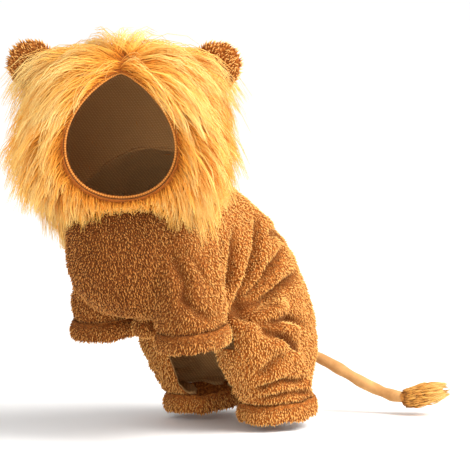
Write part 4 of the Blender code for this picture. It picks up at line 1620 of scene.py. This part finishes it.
def grow_guides():
    """The guides' points in millimetres, their ways from the hood's middle, and their paleness, which is
    partly painted light.
    """
    edge = edge_line(0.6, EDGE_GUIDES)
    rim = np.roll(edge, -1, axis=0) - np.roll(edge, 1, axis=0)
    rim *= np.where(rim[:, 2] > 0, -1.0, 1.0)[:, None] / np.linalg.norm(rim, axis=1)[:, None]
    ways = np.vstack([even_ways(GUIDES), unit(edge)])
    at_edge = np.arange(len(ways)) >= GUIDES
    starts = hood_surface(ways, BACKING)
    x, y, z = starts.T
    clear = at_edge | ~((y < 0) & in_drop(x, z, 1.5))
    spots = to_frame(from_hood(starts))
    for i, spot in enumerate(spots):
        for tree in (suit_tree, *ear_trees):
            near, normal, *_ = tree.find_nearest(Vector(spot))
            if (Vector(spot) - near).dot(normal) < 0:
                clear[i] = False
    rims = np.vstack([np.zeros((GUIDES, 3)), rim])[clear]
    ways, starts, at_edge = ways[clear], starts[clear], at_edge[clear]
    comb, lift, long, tone = combing(ways)
    roll = np.degrees(np.abs(np.arctan2(ways[:, 0], ways[:, 2])))
    beside = (ease(roll, 125, 85) * at_edge)[:, None]
    comb = comb * (1 - 0.55 * beside) + 0.75 * rims * beside
    lift = lift * (1 - 0.35 * beside[:, 0])
    long = long * np.where(at_edge, rng.uniform(0.35, 0.80, len(long)), 1.0)
    comb = comb + rng.normal(0, 0.07, comb.shape)
    lift = np.clip(lift * rng.uniform(0.75, 1.2, len(lift)), 0.05, 0.9)
    heading = ways * lift[:, None] + comb * (1 - lift)[:, None]
    heading = unit(heading @ HOOD_TURN.T)
    step_long = HAIR_LONG * long * rng.uniform(0.82, 1.08, len(long)) / GUIDE_STEPS
    point = from_hood(starts)
    lines = [point.copy()]
    for step in range(1, GUIDE_STEPS + 1):
        share = step / GUIDE_STEPS
        heading[:, 2] -= HAIR_FALL * share
        heading = unit(heading)
        ahead = point + heading * step_long[:, None]
        room = np.full(len(ahead), 1.5 + 3.0 * (1 - share))
        point = pushed_out(ahead, room, np.minimum(room, 2.0 + 10.0 * share))
        lines.append(point.copy())
    return np.stack(lines, axis=1), ways, tone


guides, guide_ways, guide_paleness_and_light = grow_guides()
print("guides:", len(guides))

# %% [markdown]
# Hairs of one lock start a few millimetres apart, and meet near its tip. A few stray ones keep
# their own way, which breaks up the outline.

# %% Grow locks round the guides
HAIRS_PER_LOCK = 11
HAIR_POINTS = 5
LOCK_HALF = 4.4
MANE_ROOM = 14.0       # how far hairs may stand out of the box round the mane's solid
HAIR_THICK = 0.36      # a hair's radius
HAIR_CLEAR = 0.8       # how far hairs keep from what they meet
OPENING_CLEAR = -2.5   # hairs that reach further than this inside the opening's edge are left out


def grow_hairs(lines, per_lock, half, points, draw=0.55, stray=0.07, wave=1.6):
    """Hairs as (hair, point, xyz), the share along each point, and each hair's shade."""
    places = np.linspace(0, lines.shape[1] - 1, points)
    low = np.minimum(places.astype(int), lines.shape[1] - 2)
    t = (places - low)[None, :, None]
    guide = lines[:, low] * (1 - t) + lines[:, low + 1] * t
    share = np.linspace(0, 1, points)
    count = len(guide)
    hairs = np.repeat(guide, per_lock, axis=0)
    along = unit(np.gradient(hairs, axis=1))
    off = rng.normal(0, half * 0.6, (count * per_lock, 1, 3))
    off = off - along * (off * along).sum(axis=2, keepdims=True)
    spread = 1 - draw * share ** 1.5
    loose = rng.random(count * per_lock) < stray
    spread = np.where(loose[:, None], 1 + 1.2 * share[None, :], spread[None, :])
    hairs = hairs + off * spread[:, :, None]
    kink = rng.normal(0, wave, (count * per_lock, 1, 3)) * np.sin(share * math.pi)[None, :, None]
    end = rng.normal(0, wave * 0.8, (count * per_lock, 1, 3)) * (share**2)[None, :, None]
    hairs = hairs + kink + end
    long = 0.25 + 0.75 * rng.uniform(0.72, 1.0, (count * per_lock, 1, 1))
    root = hairs[:, :1]
    hairs = np.where(share[None, :, None] > 0, root + (hairs - root) * long, hairs)
    lock_shade = np.repeat(rng.random(count), per_lock)
    shade = np.clip(0.55 * lock_shade + 0.55 * rng.random(count * per_lock), 0, 1)
    return hairs, share, shade


HAIR_INPUTS = (
    ("Sides", "NodeSocketInt", 3),
    ("Material", "NodeSocketMaterial", None),
)


def make_hair_tree():
    """Turns chains of edges into tubes whose radius is an attribute."""
    tree, given, out = new_tree("hairs", HAIR_INPUTS)
    thick = noted(tree, "hair_thick")
    line = wire(tree, "GeometryNodeMeshToCurve", {"Mesh": given["Geometry"]}).outputs[0]
    line = wire(tree, "GeometryNodeSetCurveRadius", {"Curve": line, "Radius": thick}).outputs[0]
    inputs = {"Resolution": given["Sides"], "Radius": 1.0}
    ring = wire(tree, "GeometryNodeCurvePrimitiveCircle", inputs).outputs[0]
    inputs = {"Curve": line, "Profile Curve": ring, "Fill Caps": True}
    tube = wire(tree, "GeometryNodeCurveToMesh", inputs)
    if "Scale" in tube.inputs:
        tree.links.new(thick, tube.inputs["Scale"])
    ended(tree, tube.outputs[0], given, out)
    return tree


def hair_object(name, hairs, share, shade, thick, material):
    """Tubes along the hairs, as one plain mesh."""
    count, points, _ = hairs.shape
    mesh = bpy.data.meshes.new(name)
    index = np.arange(count * points).reshape(count, points)
    edges = np.stack([index[:, :-1], index[:, 1:]], axis=-1).reshape(-1, 2)
    mesh.vertices.add(count * points)
    mesh.edges.add(len(edges))
    mesh.vertices.foreach_set("co", to_frame(hairs.reshape(-1, 3)).ravel())
    mesh.edges.foreach_set("vertices", edges.ravel())
    taper = np.maximum(thick * MM * (0.75 + 0.5 * share - 1.1 * share**3), 0.1 * MM)
    uneven = np.repeat(rng.uniform(0.75, 1.25, count), points)
    note(mesh, "hair_thick", np.tile(taper, count) * uneven)
    note(mesh, "hair_along", np.tile(share, count))
    note(mesh, "hair_shade", np.repeat(shade, points))
    obj = run_tree(linked(name, mesh), hair_tree, Material=material)
    print(name, "hairs:", count, "faces:", len(obj.data.polygons))
    return obj


hair_tree = make_hair_tree()


def within(hairs, low, high):
    """Shortens each hair that would leave the box from low to high."""
    root = hairs[:, :1]
    reach = hairs - root
    ahead = np.maximum(reach.max(axis=1) / (high - root[:, 0]), reach.min(axis=1) / (low - root[:, 0]))
    return root + reach / np.maximum(ahead.max(axis=1), 1.0)[:, None, None]


def past_opening(hairs):
    """Which hairs hang into the face opening."""
    x, y, z = to_hood(hairs.reshape(-1, 3)).T.reshape(3, *hairs.shape[:2])
    return ((y < 0) & in_drop(x, z, OPENING_CLEAR)).any(axis=1)


def rested(hairs):
    """Pushes every point past the root out of what it meets."""
    count, points, _ = hairs.shape
    for k in range(1, points):
        rest = np.full(count, HAIR_CLEAR)
        hairs[:, k] = pushed_out(hairs[:, k], rest, rest)
    return hairs


hairs, hair_share, hair_shade = grow_hairs(guides, HAIRS_PER_LOCK, LOCK_HALF, HAIR_POINTS)
mane_solid = to_floor(points_of(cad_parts["mane"].data))
mane_low, mane_high = mane_solid.min(axis=0) - MANE_ROOM, mane_solid.max(axis=0) + MANE_ROOM
hairs = within(rested(hairs), mane_low, mane_high)
# the guides' paleness, partly painted light, shifts each hair's shade
hair_shade = np.clip(hair_shade + np.repeat(guide_paleness_and_light, HAIRS_PER_LOCK), 0, 1)
kept = ~past_opening(hairs)
in_front = np.repeat(guide_ways[:, 1] < -0.1, HAIRS_PER_LOCK)
to_left = np.repeat(guide_ways[:, 0] > 0, HAIRS_PER_LOCK)
manes = []
for end, at_end in (("front", in_front), ("back", ~in_front)):
    for hand, on_side in (("left", to_left), ("right", ~to_left)):
        chosen = at_end & on_side & kept
        manes.append(hair_object(f"mane_{end}_{hand}", hairs[chosen], hair_share,
                                 hair_shade[chosen], HAIR_THICK, mane_hair))

# %% [markdown]
# ## Tail and tuft
#
# The tail is a narrow tube of velveteen, sewn along its underside and stuffed, so it is never
# quite even. The tuft is a flat brush of long pile, drawn over its end.

# %% The tail
TAIL_LONG, TAIL_THICK = 134.0, 13.0
TAIL_TABLE = (
    # side  back  up
    (0.00, -0.18, 0.02),
    (0.00, 0.00, -0.02),
    (0.08, 0.12, -0.08),
    (0.22, 0.24, -0.18),
    (0.38, 0.36, -0.29),
    (0.53, 0.45, -0.355),
    (0.66, 0.52, -0.37),
)
TAIL_STEPS, TAIL_AROUND = 90, 28
TAIL_SLACK = 0.5       # how much thinner it starts, before it is stuffed
TAIL_VOXEL, TAIL_SWELL = 2.0, 0.8


def tail_line(count):
    row = BODY_TABLE[RUMP_ROW]
    start = body_point(row[2], row[3])
    return smooth_rows([start + TAIL_LONG * np.array(r) for r in TAIL_TABLE], count)


def swept(line, around, radius_at):
    """Rings round a line. radius_at gives a radius for a share along and a turn round."""
    rings = []
    for k, (point, way) in enumerate(zip(line, unit(np.gradient(line, axis=0)))):
        side = unit(np.cross(way, (0.0, 0.0, 1.0)))
        top = np.cross(side, way)
        ring = []
        for j in range(around):
            turn = 2 * math.pi * j / around
            radius = radius_at(k / (len(line) - 1), turn)
            ring.append(point + radius * (math.cos(turn) * side + math.sin(turn) * top))
        rings.append(ring)
    return rings


def tail_radius(share, turn):
    """Uneven stuffing, and a seam drawn in along the underside."""
    lumps = 0.35 * math.sin(31 * share) + 0.25 * math.sin(53 * share + 1.0)
    lumps = lumps + 0.2 * math.sin(3 * turn + 20 * share)
    under = math.exp(-((math.remainder(turn - 1.4 * math.pi, 2 * math.pi) / 0.16) ** 2))
    return TAIL_THICK / 2 - TAIL_SLACK + lumps - 0.9 * under


tail_rings = swept(tail_line(TAIL_STEPS), TAIL_AROUND, tail_radius)
tail = linked("tail_cloth", grid_mesh("tail_cloth", tail_rings))
stuffed(tail, TAIL_VOXEL, TAIL_SWELL)
dress(tail.data, tail_velveteen)
cut(tail, suit_solid)
all_faces(tail.data, 0)

# %% The tuft
TUFT_LONG, TUFT_WIDE, TUFT_THICK = 40.0, 25.0, 17.0
TUFT_RISE = 0.32       # how much it points up from the tail's end
TUFT_HEAD = (
    # along  wide  thick, in shares of the tuft's sizes
    (-0.175, 0.60, 0.86),
    (0.00, 0.72, 0.96),
    (0.30, 0.86, 0.90),
    (0.62, 0.80, 0.66),
    (0.86, 0.52, 0.36),
)
TUFT_STEPS, TUFT_AROUND = 24, 28
TUFT_GUIDES, TUFT_HAIRS = 210, 7
TUFT_LOCK_HALF, TUFT_HAIR_THICK = 1.4, 0.5
CORE_ALONG, CORE_SHADE = 0.15, 0.2   # the core is as dark as hair near its root


def tuft_frame():
    """The tail's end, and the ways along, across and up from there."""
    line = tail_line(TAIL_STEPS)
    along = unit(unit(line[-1] - line[-6]) + np.array([0, 0, TUFT_RISE]))
    side = unit(np.cross(along, (0.0, 0.0, 1.0)))
    return line[-1], along, side, np.cross(side, along)


def tuft_core():
    end, along, side, top = tuft_frame()
    rings = []
    turns = np.linspace(0, 2 * math.pi, TUFT_AROUND, endpoint=False)
    for far, wide, thick in smooth_rows(TUFT_HEAD, TUFT_STEPS):
        rings.append([end + along * far * TUFT_LONG + side * math.cos(t) * wide * TUFT_WIDE / 2
                      + top * math.sin(t) * thick * TUFT_THICK / 2 for t in turns])
    return grid_mesh("tuft_core", rings)


def grow_tuft():
    """Guides from the head's skin, which run along it and open out into a flat brush."""
    end, along, side, top = tuft_frame()
    far = rng.uniform(-0.16, 0.55, TUFT_GUIDES)
    turn = rng.uniform(0, 2 * math.pi, TUFT_GUIDES)
    head = smooth_rows(TUFT_HEAD, 40)
    wide = np.interp(far, head[:, 0], head[:, 1]) * TUFT_WIDE / 2
    thick = np.interp(far, head[:, 0], head[:, 2]) * TUFT_THICK / 2
    out = np.cos(turn)[:, None] * side * wide[:, None]
    out = out + np.sin(turn)[:, None] * top * thick[:, None]
    tip_far = np.clip(far + rng.uniform(0.45, 0.65, TUFT_GUIDES), 0.4, 1.04)
    lines = []
    for share in np.linspace(0, 1, 6):
        place = far * (1 - share) + tip_far * share
        swell = 1 + 0.28 * math.sin(math.pi * share) - 0.12 * share
        lines.append(end + along * (place * TUFT_LONG)[:, None] + out * swell)
    return np.stack(lines, axis=1)


core = linked("tail_tuft_core", tuft_core())
dress(core.data, tuft_hair)
note(core.data, "hair_along", [CORE_ALONG] * len(core.data.vertices))
note(core.data, "hair_shade", [CORE_SHADE] * len(core.data.vertices))
tuft_grown = grow_hairs(grow_tuft(), TUFT_HAIRS, TUFT_LOCK_HALF, HAIR_POINTS,
                        draw=0.8, stray=0.06, wave=0.7)
tuft = hair_object("tail_tuft_hair", *tuft_grown, TUFT_HAIR_THICK, tuft_hair)

# %% [markdown]
# ## Each piece in its solid's place
#
# Each piece hides the solid whose place it takes, and rides on the one body.


def cloth_piece(obj, node):
    """Hides the solid that a wall of cloth takes the place of, and makes it ride on the body."""
    placed(obj, node)


cloth_piece(panels["body"], "body")
for name in PANELS[1:]:
    cloth_piece(panels[name], name)
for label, band in cuffs.items():
    cloth_piece(band, label)
cloth_piece(hood, "hood")
cloth_piece(binding, "face_binding")
placed(stitches, "face_binding")
cloth_piece(backing, "mane")
for obj in manes:
    placed(obj, "mane")
for hand, ear in ears.items():
    placed(ear, f"ear_{hand}")
placed(tail, "tail")
for obj in (core, tuft):
    placed(obj, "tail_tuft")
drop(suit_solid, hood_inner, hood_room, face_cut, fur_cut, *suit_cutters[1:])

# %% [markdown]
# ## Floor and light
#
# A shop picture has a white ground and light from all sides, with a broad light from above and
# behind that rims the pile, and a softer one in front.

# %% Studio
FLOOR_GAP = 8.0
LIGHTS = (
    # name  place in mm from the withers  size in metres  watts  colour
    ("key", (1100, 500, 900), 0.9, 26.0, (1.0, 0.97, 0.92)),
    ("front", (500, -1500, 500), 1.2, 9.0, (1.0, 0.98, 0.95)),
)
SUN_TURN = (52.0, 0.0, 112.0)   # from above the costume's left, a little behind
SUN_SOFT, SUN_STRENGTH = 50.0, 2.3
SKY_LIGHT = 0.66
FLOOR_WIDE = 24.0      # metres
FLOOR_WHITE = (0.93, 0.93, 0.93, 1.0)


def make_floor(low):
    bpy.ops.mesh.primitive_plane_add(size=FLOOR_WIDE, location=(0, 0, low - FLOOR_GAP * MM))
    floor = bpy.context.object
    floor.name = "floor"
    dress(floor.data, new_material("floor_white", 0.6, Base_Color=FLOOR_WHITE)[0])


def new_light(name, kind, watts):
    obj = linked(name, bpy.data.lights.new(name, kind))
    obj.data.energy = watts
    return obj


def make_lights():
    for name, place, size, watts, colour in LIGHTS:
        lamp = new_light(name, "AREA", watts)
        lamp.data.shape = "DISK"
        lamp.data.size = size
        lamp.data.color = colour
        lamp.location = Vector(place) * MM
        lamp.rotation_euler = looking_back(lamp.location)
    sun = new_light("sun", "SUN", SUN_STRENGTH)
    sun.data.angle = math.radians(SUN_SOFT)
    sun.rotation_euler = [math.radians(turn) for turn in SUN_TURN]


def make_sky():
    """A white ground for the picture, which lights the scene a little less than it looks."""
    world = bpy.data.worlds.new("studio")
    world.use_nodes = True
    tree = world.node_tree
    seen = wire(tree, "ShaderNodeLightPath").outputs["Is Camera Ray"]
    strength = maths(tree, "ADD", SKY_LIGHT, maths(tree, "MULTIPLY", seen, 1 - SKY_LIGHT))
    ground = tree.nodes["Background"]
    ground.inputs["Color"].default_value = (1.0, 1.0, 1.0, 1.0)
    tree.links.new(strength, ground.inputs["Strength"])
    scene.world = world


make_floor(solid_low.z)
make_lights()
make_sky()
scene.view_settings.view_transform = "Standard"
print("lights:", len(bpy.data.lights))

# %% Sizes and the end
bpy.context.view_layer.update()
shown = [obj.data for obj in scene.objects if obj.type == "MESH" and not obj.hide_render]
print("triangles in all:", sum(len(mesh.loop_triangles) for mesh in shown))
